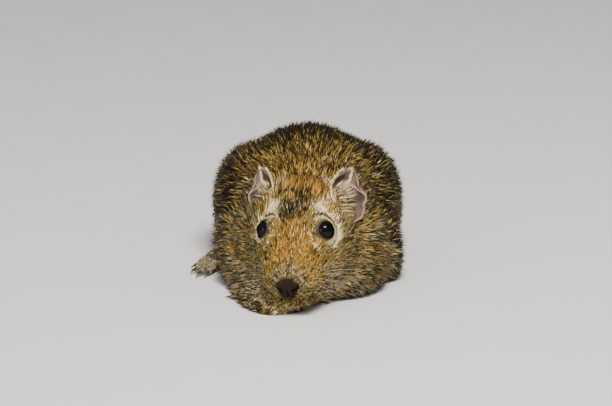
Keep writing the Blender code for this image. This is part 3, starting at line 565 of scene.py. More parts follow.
def makeCoat(material):
    draw = np.random.default_rng(coatLook["seed"])
    local = inHead(skin)
    far = np.linalg.norm(local, axis=-1)
    weight = np.interp(far, coatLook["distance"], coatLook["density"])
    weight *= 1 - noseShare(local)
    above, share = mouthDistance(local)
    weight *= 1 - share * np.exp(-(above / 0.8) ** 2)
    weight *= 1 - 0.8 * ramp(-skinNormals[..., 2], 0.75, 0.95) * (skin[..., 2] < 3)
    for centre, forward, up, out in eyes.values():
        weight *= ramp(np.linalg.norm(skin - centre, axis=-1), 6.2, 7.0)
    count = int(coatLook["tufts"] * (1))
    roots, normals, row, column = sampleGrid(skin, skinNormals, weight, count, draw)
    order = np.argsort(row, kind="stable")
    roots, normals, row, column = roots[order], normals[order], row[order], column[order]
    far = np.linalg.norm(inHead(roots), axis=-1)
    lengths = np.interp(far, coatLook["distance"], coatLook["length"]) * draw.uniform(0.75, 1.15, count)
    widths = np.interp(far, coatLook["distance"], coatLook["width"]) * draw.uniform(0.7, 1.2, count)
    depth = -field(roots, headMasses() + trunkMasses() + forelegMasses())
    ways = lieOfCoat(roots, normals)
    ways = unit(ways + np.cross(normals, ways) * draw.normal(0, coatLook["stray"], count)[:, None])
    # guard hairs stand out past the solids' surface; under the jaw and chest the coat hangs to the floor
    guard = draw.uniform(0, 1, count) < coatLook["guardShare"]
    low = (1 - ramp(roots[:, 2], 3, 12)) * (1 - ramp(roots[:, 1], -18, 4))
    low = low * (1 - ramp(normals[:, 2], 0.1, 0.5))
    lengths *= 1 + 0.25 * guard + 0.35 * low
    rise = depth / lengths * np.where(guard, draw.uniform(1.7, 2.5, count), draw.uniform(0.85, 1.6, count))
    lifts = np.arcsin(np.clip(rise + 0.12 * guard, 0.12, 0.8))
    points = buildTufts(roots, normals, ways, lengths, widths * np.where(guard, 0.7, 1), lifts, draw)
    points, _ = clumped(points, roots, *coatLook["locks"], 17)
    points, clumpTone = clumped(points, roots, *coatLook["strands"], 29)
    tags = markingAndShadeMasks(roots)
    tags["tone"] = draw.uniform(0, 1, count)
    tags["clumpTone"] = clumpTone
    for k, first in enumerate(range(0, count, coatLook["perPiece"])):
        part = slice(first, min(first + coatLook["perPiece"], count))
        span = row[part].max() - row[part].min()
        patches = np.stack([column[part] / skin.shape[1], (row[part] - row[part].min()) / span], axis=-1)
        coat = tuftObject(f"coat{k + 1}", points[part], patches, {key: v[part] for key, v in tags.items()})
        place(coat, "coat", material)


# Materials

colours = {   # linear rgb
    "undercoat": (0.030, 0.023, 0.009), "band": (0.36, 0.235, 0.048), "orange": (0.60, 0.285, 0.050),
    "cream": (0.98, 0.80, 0.46), "beige": (0.33, 0.27, 0.13), "black": (0.009, 0.0078, 0.004),
    "noseSkin": (0.011, 0.006, 0.003), "noseHigh": (0.030, 0.016, 0.007), "lipSkin": (0.12, 0.062, 0.025),
    # earHollowShade is painted shade for the ear's hollows; earRimAndHighlight is a pinker rim with a painted
    # highlight on the fold
    "earSkin": (0.20, 0.14, 0.105), "earRimAndHighlight": (0.52, 0.35, 0.28), "earHollowShade": (0.030, 0.021, 0.010),
    "footSkin": (0.18, 0.14, 0.11), "claw": (0.06, 0.045, 0.03),
    # openingShade is painted shade for the nostrils and the mouth's slit
    "openingShade": (0.004, 0.003, 0.002), "pupil": (0.0015, 0.0013, 0.001), "iris": (0.006, 0.004, 0.003),
    "lidEdge": (0.018, 0.013, 0.009), "floor": (0.74, 0.73, 0.71), "floorBlotch": (0.70, 0.69, 0.67),
}


class Nodes:
    # short calls for the nodes of one tree
    def __init__(self, tree):
        self.tree = tree

    def add(self, kind, **values):
        node = self.tree.nodes.new(kind)
        for key, value in values.items():
            setattr(node, key, value)
        return node

    def feed(self, socket, value):
        if isinstance(value, bpy.types.NodeSocket):
            self.tree.links.new(value, socket)
        elif isinstance(value, tuple) and len(value) == 3 and socket.type == "RGBA":
            socket.default_value = (*value, 1)
        else:
            socket.default_value = value

    def maths(self, operation, *values):
        node = self.add("ShaderNodeMath", operation=operation)
        for socket, value in zip(node.inputs, values):
            self.feed(socket, value)
        return node.outputs[0]

    def step(self, value, low, high, toLow=0.0, toHigh=1.0):
        node = self.add("ShaderNodeMapRange", interpolation_type="SMOOTHSTEP")
        for key, given in zip(("Value", "From Min", "From Max", "To Min", "To Max"),
                              (value, low, high, toLow, toHigh)):
            self.feed(node.inputs[key], given)
        return node.outputs["Result"]

    def mix(self, share, first, second, blend="MIX"):
        node = self.add("ShaderNodeMix", data_type="RGBA", blend_type=blend)
        self.feed(node.inputs[0], share)
        self.feed(node.inputs[6], first)
        self.feed(node.inputs[7], second)
        return node.outputs[2]

    def attribute(self, name):
        return self.add("ShaderNodeAttribute", attribute_name=name).outputs["Fac"]

    def noise(self, scale, detail=2.0, vector=None):
        node = self.add("ShaderNodeTexNoise")
        node.inputs["Scale"].default_value = scale
        node.inputs["Detail"].default_value = detail
        self.feed(node.inputs["Vector"], vector or self.add("ShaderNodeTexCoord").outputs["Object"])
        return node.outputs["Fac"]

    def cells(self, scale, vector=None):
        node = self.add("ShaderNodeTexVoronoi")
        node.inputs["Scale"].default_value = scale
        self.feed(node.inputs["Vector"], vector or self.add("ShaderNodeTexCoord").outputs["Object"])
        return node.outputs["Distance"]

    def bump(self, height, strength, distance):
        node = self.add("ShaderNodeBump")
        node.inputs["Strength"].default_value = strength
        node.inputs["Distance"].default_value = distance
        self.feed(node.inputs["Height"], height)
        return node.outputs["Normal"]


def newGroup(name, inputs, outputs):
    tree = bpy.data.node_groups.new(name, "ShaderNodeTree")
    for key, (kind, value) in inputs.items():
        socket = tree.interface.new_socket(key, in_out="INPUT", socket_type=kind)
        socket.default_value = (*value, 1) if isinstance(value, tuple) else value
    for key, kind in outputs.items():
        tree.interface.new_socket(key, in_out="OUTPUT", socket_type=kind)
    nodes = Nodes(tree)
    return nodes, nodes.add("NodeGroupInput").outputs, nodes.add("NodeGroupOutput").inputs


print("degu: materials")


def agoutiGroup():
    # one hair: slate root, coloured band and, on a share of the hairs, a black tip. Each choice is drawn
    # from a number that the strand's hairs nearly share, by the share that the markings give there
    number, colour = "NodeSocketFloat", "NodeSocketColor"
    nodes, given, out = newGroup("agoutiHair", {
        "Along": (number, 0.5), "Tone": (number, 0.5), "Clump": (number, 0.5), "Warm": (number, 0.0),
        "Dark": (number, 0.0), "Pale": (number, 0.0), "Grey": (number, 0.0)}, {"Colour": colour})

    def lot(spread, own=0.35):
        return nodes.maths("FRACT", nodes.maths("MULTIPLY_ADD", given["Clump"], spread,
                                                nodes.maths("MULTIPLY", given["Tone"], own)))

    def drawn(spread, share):
        return nodes.step(nodes.maths("SUBTRACT", lot(spread), share), 0.06, -0.06)

    def share(name, slope, base):
        return nodes.maths("MULTIPLY_ADD", given[name], slope, base)

    band = nodes.mix(drawn(13.7, given["Grey"]), colours["band"], colours["beige"])
    band = nodes.mix(drawn(29.3, share("Warm", 0.85, 0.05)), band, colours["orange"])
    band = nodes.mix(drawn(41.9, share("Pale", 1.1, 0.035)), band, colours["cream"])
    shade = nodes.maths("MULTIPLY_ADD", lot(57.7), 1.0, 0.5)
    shade = nodes.maths("MULTIPLY", shade, share("Tone", 0.5, 0.75))
    shade = nodes.maths("MAXIMUM", shade, nodes.maths("MULTIPLY", given["Pale"], 0.9))
    grey = nodes.add("ShaderNodeCombineColor")
    for socket in grey.inputs[:3]:
        nodes.feed(socket, shade)
    band = nodes.mix(1.0, band, grey.outputs[0], "MULTIPLY")
    paleLoss = nodes.maths("MULTIPLY", given["Pale"], 0.45)
    ticked = drawn(19.1, nodes.maths("SUBTRACT", share("Dark", 0.5, 0.34), paleLoss))
    along = nodes.maths("MULTIPLY_ADD", given["Tone"], -0.12, given["Along"])
    along = nodes.maths("MULTIPLY_ADD", ticked, 0.14, along)
    hair = nodes.mix(nodes.step(along, 0.10, 0.42), colours["undercoat"], band)
    hair = nodes.mix(nodes.maths("MULTIPLY", nodes.step(along, 0.62, 0.78), ticked), hair, colours["black"])
    paleLoss = nodes.maths("MULTIPLY", given["Pale"], 0.2)
    guard = drawn(7.31, nodes.maths("SUBTRACT", share("Dark", 0.6, 0.17), paleLoss))
    nodes.feed(out["Colour"], nodes.mix(nodes.maths("MULTIPLY", guard, 0.93), hair, colours["black"]))
    return nodes.tree


agouti = agoutiGroup()


def newMaterial(name, roughness, **constants):
    made = bpy.data.materials.new(name)
    made.use_nodes = True
    shader = made.node_tree.nodes["Principled BSDF"]
    shader.inputs["Roughness"].default_value = roughness
    for key, value in constants.items():
        shader.inputs[key.replace("_", " ")].default_value = value
    return made, Nodes(made.node_tree), shader.inputs


def useAgouti(nodes, along):
    group = nodes.add("ShaderNodeGroup", node_tree=agouti)
    nodes.feed(group.inputs["Along"], along)
    for key, name in (("Tone", "tone"), ("Clump", "clumpTone"), ("Warm", "warm"), ("Dark", "dark"),
                      ("Pale", "pale"), ("Grey", "grey")):
        nodes.feed(group.inputs[key], nodes.attribute(name))
    return group.outputs["Colour"]


def coatMaterial():
    made, nodes, shader = newMaterial("agoutiCoat", 0.65, Specular_IOR_Level=0.12)
    nodes.feed(shader["Base Color"], useAgouti(nodes, nodes.attribute("along")))
    return made


def skinMaterial():
    made, nodes, shader = newMaterial("bodySkin", 0.75, Specular_IOR_Level=0.1)
    under = useAgouti(nodes, 0.3)
    nose = nodes.attribute("nose")
    lip = nodes.attribute("lip")
    colour = nodes.mix(lip, under, colours["lipSkin"])
    mottle = nodes.step(nodes.noise(900, 3), 0.3, 0.7, 0.75, 1.2)
    cobble = nodes.cells(1700)
    noseColour = nodes.mix(nodes.maths("MULTIPLY", mottle, 0.5), colours["noseSkin"], colours["noseHigh"])
    colour = nodes.mix(nose, colour, noseColour)
    # painted shade: the nostrils and the mouth's slit go near black
    nodes.feed(shader["Base Color"], nodes.mix(nodes.attribute("openingShade"), colour, colours["openingShade"]))
    nodes.feed(shader["Roughness"], nodes.step(nose, 0.0, 1.0, 0.8, 0.5))
    nodes.feed(shader["Normal"], nodes.bump(nodes.maths("MULTIPLY", cobble, nose), 0.6, 0.0003))
    return made


def plainSkinMaterial(name, colour, roughness, scale):
    # bare skin with fine creases and blotches
    made, nodes, shader = newMaterial(name, roughness, Specular_IOR_Level=0.35)
    blotch = nodes.step(nodes.noise(scale * 0.25, 3), 0.35, 0.68)
    darker = tuple(c * 0.62 for c in colour)
    nodes.feed(shader["Base Color"], nodes.mix(blotch, colour, darker))
    nodes.feed(shader["Normal"], nodes.bump(nodes.cells(scale), 0.35, 0.0002))
    return made


def earMaterial():
    # thin mauve skin, pinker at its rim, with a painted highlight along the fold and painted shade down in
    # the hollows
    made, nodes, shader = newMaterial("earSkin", 0.55, Specular_IOR_Level=0.2)
    blotch = nodes.step(nodes.noise(420, 3), 0.35, 0.68)
    skinColour = nodes.mix(blotch, colours["earSkin"], tuple(c * 0.72 for c in colours["earSkin"]))
    # pinker skin at the edges and on the shelf, and a painted highlight along the fold
    skinColour = nodes.mix(nodes.attribute("rim"), skinColour, colours["earRimAndHighlight"])
    # painted shade: the hollows are mixed toward a near-black brown
    nodes.feed(shader["Base Color"], nodes.mix(nodes.attribute("deep"), skinColour, colours["earHollowShade"]))
    nodes.feed(shader["Normal"], nodes.bump(nodes.cells(1500), 0.3, 0.0002))
    return made


def eyeMaterial():
    made, nodes, shader = newMaterial("eyeGlass", 0.03)
    nodes.feed(shader["Base Color"], nodes.mix(nodes.attribute("iris"), colours["pupil"], colours["iris"]))
    facing = nodes.add("ShaderNodeLayerWeight").outputs["Facing"]
    nodes.feed(shader["Specular IOR Level"], nodes.step(facing, 0.1, 0.6, 0.16, 0.0))
    return made


def lidMaterial():
    # dark at the wet edge, then the coat's own markings
    made, nodes, shader = newMaterial("lidSkin", 0.55, Specular_IOR_Level=0.3)
    hair = useAgouti(nodes, 0.35)
    nodes.feed(shader["Base Color"], nodes.mix(nodes.attribute("edge"), hair, colours["lidEdge"]))
    return made


def hairMaterial(name, low, high, roughness=0.55):
    # plain hairs, from low to high by the tone of each
    made, nodes, shader = newMaterial(name, roughness, Specular_IOR_Level=0.35)
    nodes.feed(shader["Base Color"], nodes.mix(nodes.attribute("tone"), low, high))
    return made


def floorMaterial():
    made, nodes, shader = newMaterial("paleFloor", 0.9)
    nodes.feed(shader["Base Color"], nodes.mix(nodes.noise(60, 4), colours["floor"], colours["floorBlotch"]))
    return made


coatFinish = coatMaterial()
skinFinish = skinMaterial()
earFinish = earMaterial()
footFinish = plainSkinMaterial("footSkin", colours["footSkin"], 0.6, 1300)
clawFinish = plainSkinMaterial("clawHorn", colours["claw"], 0.35, 700)
lidFinish = lidMaterial()
eyeFinish = eyeMaterial()
brushFinish = hairMaterial("brushHair", (0.010, 0.009, 0.008), (0.035, 0.028, 0.024))
whiskerFinish = hairMaterial("whiskerHair", (0.05, 0.04, 0.035), (0.62, 0.56, 0.48), 0.4)


# The skin itself

def makeSkin():
    points, quads, ends = cappedTube(skin)
    tags = markingAndShadeMasks(points)
    draw = np.random.default_rng(2)
    tags["tone"], tags["clumpTone"] = draw.uniform(0, 1, (2, len(points)))
    local = inHead(points)
    tags["nose"] = noseShare(local)
    above, share = mouthDistance(local)
    tags["lip"] = share * np.exp(-(above / 1.1) ** 2)
    # painted shade inside the nostrils and along the mouth's slit
    tags["openingShade"] = np.maximum(nostrilShare(local), 0.9 * share * np.exp(-(above / 0.35) ** 2))
    return place(makeMesh("skin", points, [quads, ends], tags), "coat", skinFinish,
                 "head", "neck", "torso", "thigh_left", "thigh_right", "foreleg_left", "foreleg_right")


print("degu: skin mesh")
makeSkin()
print("degu: coat")
makeCoat(coatFinish)


# Eyes and lids

def makeEye(side):
    # a ball with a bulging cornea; polar angle by turn, from the eye's axis
    centre, forward, up, out = eyes[side]
    turns = np.linspace(0, 2 * math.pi, 48, endpoint=False)
    polar, turn = np.meshgrid(np.linspace(0, math.pi, 40), turns, indexing="ij")
    radius = eyeForm["radius"] * (1 + 0.035 * np.exp(-(polar / 0.6) ** 2))
    ring = np.cos(turn)[..., None] * forward + np.sin(turn)[..., None] * up
    grid = centre + radius[..., None] * (np.cos(polar)[..., None] * out + np.sin(polar)[..., None] * ring)
    points, quads, ends = cappedTube(grid[1:-1])
    iris = np.append(ramp(polar[1:-1], 0.45, 0.6).reshape(-1) * 0.8, [0, 0.8])
    eye = makeMesh("eye" + sideNames[side], points, [quads, ends], {"iris": iris})
    return place(eye, "eye", eyeFinish, "eye" + nodeSides[side])


def lidOpening(turn):
    # the table read all round, then smoothed
    given = np.interp(np.degrees(turn), eyeForm["turn"], eyeForm["opening"], period=360)
    return np.radians((np.roll(given, 2) + 2 * np.roll(given, 1) + 3 * given
                       + 2 * np.roll(given, -1) + np.roll(given, -2)) / 9)


def lidGrid(side):
    # from under the lid's edge, over its rounded rim, then down to the skin round about
    centre, forward, up, out = eyes[side]
    turn = np.linspace(0, 2 * math.pi, 80, endpoint=False)
    spread = np.cos(turn)[:, None] * forward + np.sin(turn)[:, None] * up
    opening, ball, rows = lidOpening(turn), eyeForm["radius"], []
    for extra, lift in ((12, -0.25), (3, 0.02), (0, 0.10), (-1, 0.28), (1, 0.46), (6, 0.56)):
        angle, radius = opening + math.radians(extra), ball + lift
        rise, width = (radius * np.cos(angle))[:, None], (radius * np.sin(angle))[:, None]
        rows.append(centre + rise * out + width * spread)
    inner = rows[-1]
    edge = centre + eyeForm["lidEnd"] * spread - 9 * out
    level = np.full(len(turn), -1.6)
    outer = edge + reach(edge, np.repeat(out[None], len(turn), 0), headMasses(), level, 14.0)[:, None] * out
    for t in np.linspace(0, 1, 11)[1:]:
        middle = inner * (1 - t) + outer * t
        rows.append(middle + out * (0.35 * math.sin(math.pi * t)))
    return np.array(rows)


def makeLids(side, draw):
    rows = lidGrid(side)
    count, around = rows.shape[:2]
    tags = markingAndShadeMasks(rows.reshape(-1, 3))
    tags["tone"] = draw.uniform(0.3, 0.7, count * around)
    tags["clumpTone"] = np.full(count * around, 0.4)
    tags["edge"] = np.repeat(1 - ramp(np.arange(count), 4.2, 6.5), around)
    lids = makeMesh("lids" + sideNames[side], rows.reshape(-1, 3), [gridFaces(count, around, True)], tags)
    place(lids, "coat", lidFinish)
    centre, forward, up, out = eyes[side]
    normals = gridNormals(rows)
    normals *= np.sign((normals[8] * out).sum(axis=-1).mean())
    weight = np.repeat(ramp(np.arange(count), 5.6, 8.0)[:, None], around, 1)
    number = eyeForm["lidTufts"]
    roots, facing, row, column = sampleGrid(rows, normals, weight, number, draw)
    far = np.linalg.norm(roots - centre, axis=1)
    ways = unit(roots - centre)
    ways = 0.25 * lieOfCoat(roots, facing) + 1.2 * (ways - facing * (ways * facing).sum(axis=1)[:, None])
    ways = unit(ways + 0.2 * draw.normal(size=ways.shape))
    lengths = np.interp(far, (4.6, 7.0), (0.8, 2.4)) * draw.uniform(0.8, 1.2, number)
    points = buildTufts(roots, facing, ways, lengths, draw.uniform(0.2, 0.32, number),
                        np.radians(draw.uniform(6, 16, number)), draw)
    tags = markingAndShadeMasks(roots)
    tags["tone"] = draw.uniform(0, 1, number)
    tags["clumpTone"] = draw.uniform(0.2, 0.9, number)
    patches = np.stack([column / around, row / count], axis=-1)
    place(tuftObject("lidHair" + sideNames[side], points, patches, tags), "coat", coatFinish)


print("degu: eyes")
lidDraw = np.random.default_rng(31)
for side in (-1, 1):
    makeEye(side)
    makeLids(side, lidDraw)


# Ears

earForm = {
    "root": (18.6, 40.0, -1.5), "height": 23.0, "width": 15.5, "depth": 5.2, "thickness": 0.55,
    "rows": 56, "columns": 64,
    "medialWrap": (150, 80), "lateralWrap": (88, 62),    # degrees round the cup at root and tip
    "spire": 0.38,    # how much narrower the outer side is at the top
    "lean": 1.6,      # how far the tip leans out, mm
    "fold": [(0.42, 0.97), (0.22, 0.83), (0.08, 0.72), (-0.18, 0.53), (-0.30, 0.40)],    # u, v down the fold
    "shelf": [(0.10, 0.70), (0.45, 0.655), (0.80, 0.60), (1.0, 0.52)],
    "backHairs": 4200, "fans": 11, "fanHairs": 26, "rimHairs": 300, "foldHairs": 220, "baseHairs": 620,
}


def earAxes(side):
    # across points outward, back points away from the opening, high runs up the ear
    across = np.array([side * 0.80, 0.52, -0.10])
    high = unit(np.array([-side * 0.05, 0.74, 0.67]))
    across = unit(across - high * (across @ high))
    return np.array([across, np.cross(across, high) * -side, high])


def nearLine(u, v, line, width):
    # 1 on a line through (u, v) places, falling off over width
    line = smoothRow(line, np.linspace(0, len(line) - 1, 30))
    gap = np.hypot((u[..., None] - line[:, 0]) * 0.6, v[..., None] - line[:, 1]).min(axis=-1)
    return np.exp(-(gap / width) ** 2)


def earSheets(side):
    # u runs across from the front rim to the outer rim and v up from root to tip; the cup is an arc whose
    # front wall wraps further round than the outer one and which opens as it rises
    heights, widths = np.linspace(-0.16, 1, earForm["rows"]), np.linspace(-1, 1, earForm["columns"])
    v, u = np.meshgrid(heights, widths, indexing="ij")
    up = np.maximum(v, 0)
    wraps = earForm["medialWrap"], earForm["lateralWrap"]
    medial, lateral = (low + (high - low) * up**0.8 for low, high in wraps)
    turn = np.radians(np.where(u < 0, medial, lateral)) * u
    notch = 1 - 0.13 * np.exp(-((v - 0.33) / 0.05) ** 2) * ramp(u, 0.55, 1)
    end = np.sqrt(1 - (up * 0.985) ** np.where(u < 0, 11.0, 6.0))
    sink = ramp(0.1 - v, 0, 0.26)
    width = earForm["width"] / 2 * (0.52 + 0.60 * np.sin(math.pi * (0.08 + 0.72 * up)))
    width = width * end * notch * (1 - 0.45 * sink)
    width *= 1 - earForm["spire"] * ramp(v, 0.52, 0.76) * ramp(u, -0.1, 0.3)
    depth = earForm["depth"] * (1 - 0.35 * up) * np.sqrt(1 - (up * 0.985) ** 8)
    back = depth * (np.cos(turn) - np.cos(np.radians(105 - 38 * up)) * 0.5 - 0.5) - 2.2 * up * up
    back += 0.25 * np.sin(9 * up + 2 * u) * (1 - u * u) * ramp(up, 0.1, 0.4)
    high = earForm["height"] * (v * (1 - 0.10 * u * u) - 0.06)
    sideways = width * np.sin(turn) + earForm["lean"] * ramp(v, 0.6, 1.05) - 4.5 * sink
    outer = np.stack([sideways, back, high], axis=-1)
    normal = unit(np.cross(np.gradient(outer, axis=1), np.gradient(outer, axis=0)))
    rim = np.sqrt(np.clip(1 - u**6, 0, 1)) * np.sqrt(np.clip(1 - up**10, 0, 1))
    folds = 0.9 * nearLine(u, v, earForm["fold"], 0.035) + 0.7 * nearLine(u, v, earForm["shelf"], 0.035)
    inner = outer + normal * (earForm["thickness"] * (0.35 + 0.65 * rim) + folds * rim)[..., None]
    placed = np.array([side * earForm["root"][0], earForm["root"][1], earForm["root"][2]])
    return [onHead(placed + sheet @ earAxes(side)) for sheet in (outer, inner)], u, v


def makeEar(side):
    (outer, inner), u, v = earSheets(side)
    rows, columns = outer.shape[:2]
    half = rows * columns
    faces = gridFaces(rows, columns, False)
    edge = np.concatenate([np.arange(columns), np.arange(1, rows) * columns + columns - 1,
                           (rows - 1) * columns + np.arange(columns - 2, -1, -1),
                           np.arange(rows - 2, 0, -1) * columns])
    after = np.roll(edge, -1)
    wall = np.stack([edge, edge + half, after + half, after], axis=1)
    # rim: pinker skin at the edges and along the shelf, and a painted highlight along the fold's ridge
    rim = np.maximum(ramp(np.abs(u), 0.86, 1), ramp(v, 0.93, 1))
    rim = np.maximum(rim, nearLine(u, v, earForm["fold"], 0.03))
    rim = np.maximum(rim, 0.8 * nearLine(u, v, earForm["shelf"], 0.04))
    # painted shade in the cup's hollows, as soft blobs in u and v; the back sheet is darkened evenly by the
    # same colour
    hollows = ((-0.45, 0.83, 0.46, 0.13, 0.85), (0.62, 0.46, 0.32, 0.12, 0.75), (-0.15, 0.3, 0.5, 0.3, 1.0))
    deep = 1 - np.prod([1 - s * np.exp(-(((u - a) / ru) ** 2 + ((v - b) / rv) ** 2) ** 1.5)
                        for a, b, ru, rv, s in hollows], axis=0)
    deep *= 1 - rim
    tags = {"rim": np.concatenate([rim.reshape(-1) * 0.4, rim.reshape(-1) * 0.9]),
            "deep": np.concatenate([np.full(half, 0.55), deep.reshape(-1)])}
    ear = makeMesh("ear" + sideNames[side], np.vstack([outer.reshape(-1, 3), inner.reshape(-1, 3)]),
                   [faces, faces[:, ::-1] + half, wall], tags)
    return place(ear, "ear_skin", earFinish, "ear" + nodeSides[side])


def earHair(side, draw):
    (outer, inner), u, v = earSheets(side)
    across, back, high = earAxes(side) @ headAxes      # in the world
    rows, columns = u.shape
    normals = unit(np.cross(np.gradient(outer, axis=1), np.gradient(outer, axis=0)))
    normals *= np.sign(((outer - inner) * normals).sum())
    made = []

    def rowOf(height):
        return np.interp(height, v[:, 0], np.arange(rows)).astype(int)

    def columnOf(place):
        return np.interp(place, u[0], np.arange(columns)).astype(int)

    def tufts(roots, facing, ways, lengths, widths, lifts, patches, marks, strand, droop=0.5):
        points = buildTufts(roots, facing, unit(ways), lengths, widths, np.radians(lifts), draw, droop)
        count = len(roots)
        tags = {key: np.full(count, value) for key, value in zip(("warm", "dark", "pale", "grey"), marks)}
        tags["tone"], tags["clumpTone"] = draw.uniform(0, 1, count), strand
        made.append((points, patches, tags))

    # short dark hair on the back of the cup, running up to the tip
    count = earForm["backHairs"]
    cell, along = draw.uniform(0, columns - 1.001, count), draw.uniform(7, rows - 2.001, count)
    r, c = along.astype(int), cell.astype(int)
    facing = normals[r, c]
    ways = high + 0.25 * draw.normal(size=(count, 3))
    ways -= facing * (ways * facing).sum(axis=1)[:, None]
    tufts(outer[r, c], facing, ways, draw.uniform(1.4, 2.6, count), draw.uniform(0.16, 0.26, count),
          draw.uniform(6, 16, count), np.stack([cell / columns, along / rows], axis=-1) * 0.9,
          (0.1, 0.4, 0.05, 0.7), draw.uniform(0, 1, count))
    # fans of pale hairs from the front wall out across the opening, rising at the top and drooping below
    count = earForm["fans"] * earForm["fanHairs"]
    fan = np.repeat(np.arange(earForm["fans"]), earForm["fanHairs"])
    height = np.interp(fan, (0, earForm["fans"] - 1), (0.10, 0.64)) + draw.normal(0, 0.006, count)
    start = draw.uniform(-0.50, -0.05, count)
    r, c = rowOf(height), columnOf(start)
    roots = inner[r, c]
    rise = np.radians(np.interp(height, (0.1, 0.35, 0.64), (-14, 8, 52)) + draw.normal(0, 4, count))[:, None]
    ways = across * np.cos(rise) + high * np.sin(rise) - back * draw.uniform(0.1, 0.25, (count, 1))
    roots = roots - back * draw.uniform(1.5, 4.0, (count, 1))
    facing = np.repeat(high[None], count, 0) - unit(ways) * (unit(ways) @ high)[:, None]
    lengths = np.interp(height, (0.1, 0.4, 0.64), (5.6, 7.2, 5.4)) * draw.uniform(0.6, 1.05, count)
    tufts(roots, unit(facing), ways, lengths, draw.uniform(0.14, 0.26, count),
          draw.uniform(2, 12, count), np.stack([c / columns, height * 0.9], axis=-1),
          (0.0, 0.0, 0.85, 0.8), fan * 0.37 % 1, -1.2)
    # whitish hairs up the front rim and along the fold
    for count, line in ((earForm["rimHairs"], [(-0.97, 0.35), (-0.97, 0.6), (-0.96, 0.85), (-0.6, 0.98)]),
                        (earForm["foldHairs"], earForm["fold"][::-1])):
        at = smoothRow(line, draw.uniform(0, len(line) - 1, count))
        r, c = rowOf(at[:, 1]), columnOf(at[:, 0])
        ways = high + across * draw.uniform(-0.1, 0.3, (count, 1)) + 0.15 * draw.normal(size=(count, 3))
        tufts(inner[r, c], np.repeat(-back[None], count, 0), ways, draw.uniform(1.4, 2.8, count),
              draw.uniform(0.14, 0.24, count), draw.uniform(2, 14, count),
              np.stack([c / columns, r / rows], axis=-1) * 0.9,
              (0.0, 0.0, 0.85, 0.8), draw.uniform(0, 1, count))
    # longer cream hairs at the ear's foot, in front and on the crown side
    count = earForm["baseHairs"]
    share = draw.uniform(0, 1, count)
    line = smoothRow([(16.4, 33.0, 5.0), (14.8, 38.0, 8.0), (12.6, 43.0, 9.6), (11.0, 49.0, 10.0)], share * 3)
    line = line * (side, 1, 1) + draw.normal(0, 0.8, (count, 3))
    roots = onHead(line - np.array([side * 0.8, 0, 1.6]))
    facing = unit(onHead(line + (side * 0.6, 0, 0.8)) - onHead(line))
    ways = high * 0.9 + across * np.interp(share, (0, 1), (0.2, -0.1))[:, None]
    ways = ways + 0.16 * draw.normal(size=(count, 3))
    ways -= facing * (ways * facing).sum(axis=1)[:, None]
    tufts(roots, facing, ways, draw.uniform(3.2, 5.8, count), draw.uniform(0.24, 0.38, count),
          draw.uniform(8, 22, count), np.stack([0.1 + 0 * share, share * 0.9], axis=-1),
          (0.2, 0.05, 0.6, 0.4), np.floor(share * 60) * 0.37 % 1)
    points, patches = (np.concatenate([part[k] for part in made]) for k in (0, 1))
    tags = {key: np.concatenate([part[2][key] for part in made]) for key in made[0][2]}
    place(tuftObject("earHair" + sideNames[side], points, patches, tags), "coat", coatFinish)


print("degu: ears")
earDraw = np.random.default_rng(41)
for side in (-1, 1):
    makeEar(side)
    earHair(side, earDraw)


# Feet

footForm = {
    "heel": {-1: (-25.5, 25.0), 1: (27.0, 31.0)}, "spread": {-1: 47.0, 1: 16.0},
    "wrist": {-1: (-19.0, -33.0), 1: (15.0, -21.5)}, "pawSpread": {-1: -4.0, 1: -20.0},
    "claw": 4.4, "voxel": 0.42, "skinDepth": 0.25, "hairs": 7.0,    # hairs to the square mm
}


def footPlace(side, heel, spread, path):
    # forward, outward and height from the heel, turned out by spread degrees, to the world
    out = math.radians(spread)
    path = np.array(path, float)
    x = path[:, 0] * math.sin(out) + path[:, 1] * math.cos(out)
    y = -path[:, 0] * math.cos(out) + path[:, 1] * math.sin(out)
    return np.stack([heel[0] + side * x, heel[1] + y, path[:, 2]], axis=1)


def tubeAlong(path, radii, count, sides, flat=1.0):
    rows = smoothRow(np.column_stack([path, radii]), np.linspace(0, len(radii) - 1, count))
    return tubeRings(rows[:, :3], rows[:, 3], sides, flat)


def roundEnds(rings, bulge):
    # two more rings close each end like a dome
    start, end = rings[0].mean(axis=0), rings[-1].mean(axis=0)
    back, on = unit(start - rings[1].mean(axis=0)), unit(end - rings[-2].mean(axis=0))
    size = np.linalg.norm(rings[0][0] - start), np.linalg.norm(rings[-1][0] - end)
    domes = (0.35, 0.95), (0.75, 0.66)    # width and height of the two rings
    first = [start + (rings[0] - start) * k + back * size[0] * bulge * m for k, m in domes]
    last = [end + (rings[-1] - end) * k + on * size[1] * bulge * m for k, m in domes[::-1]]
    return np.concatenate([first, rings, last])


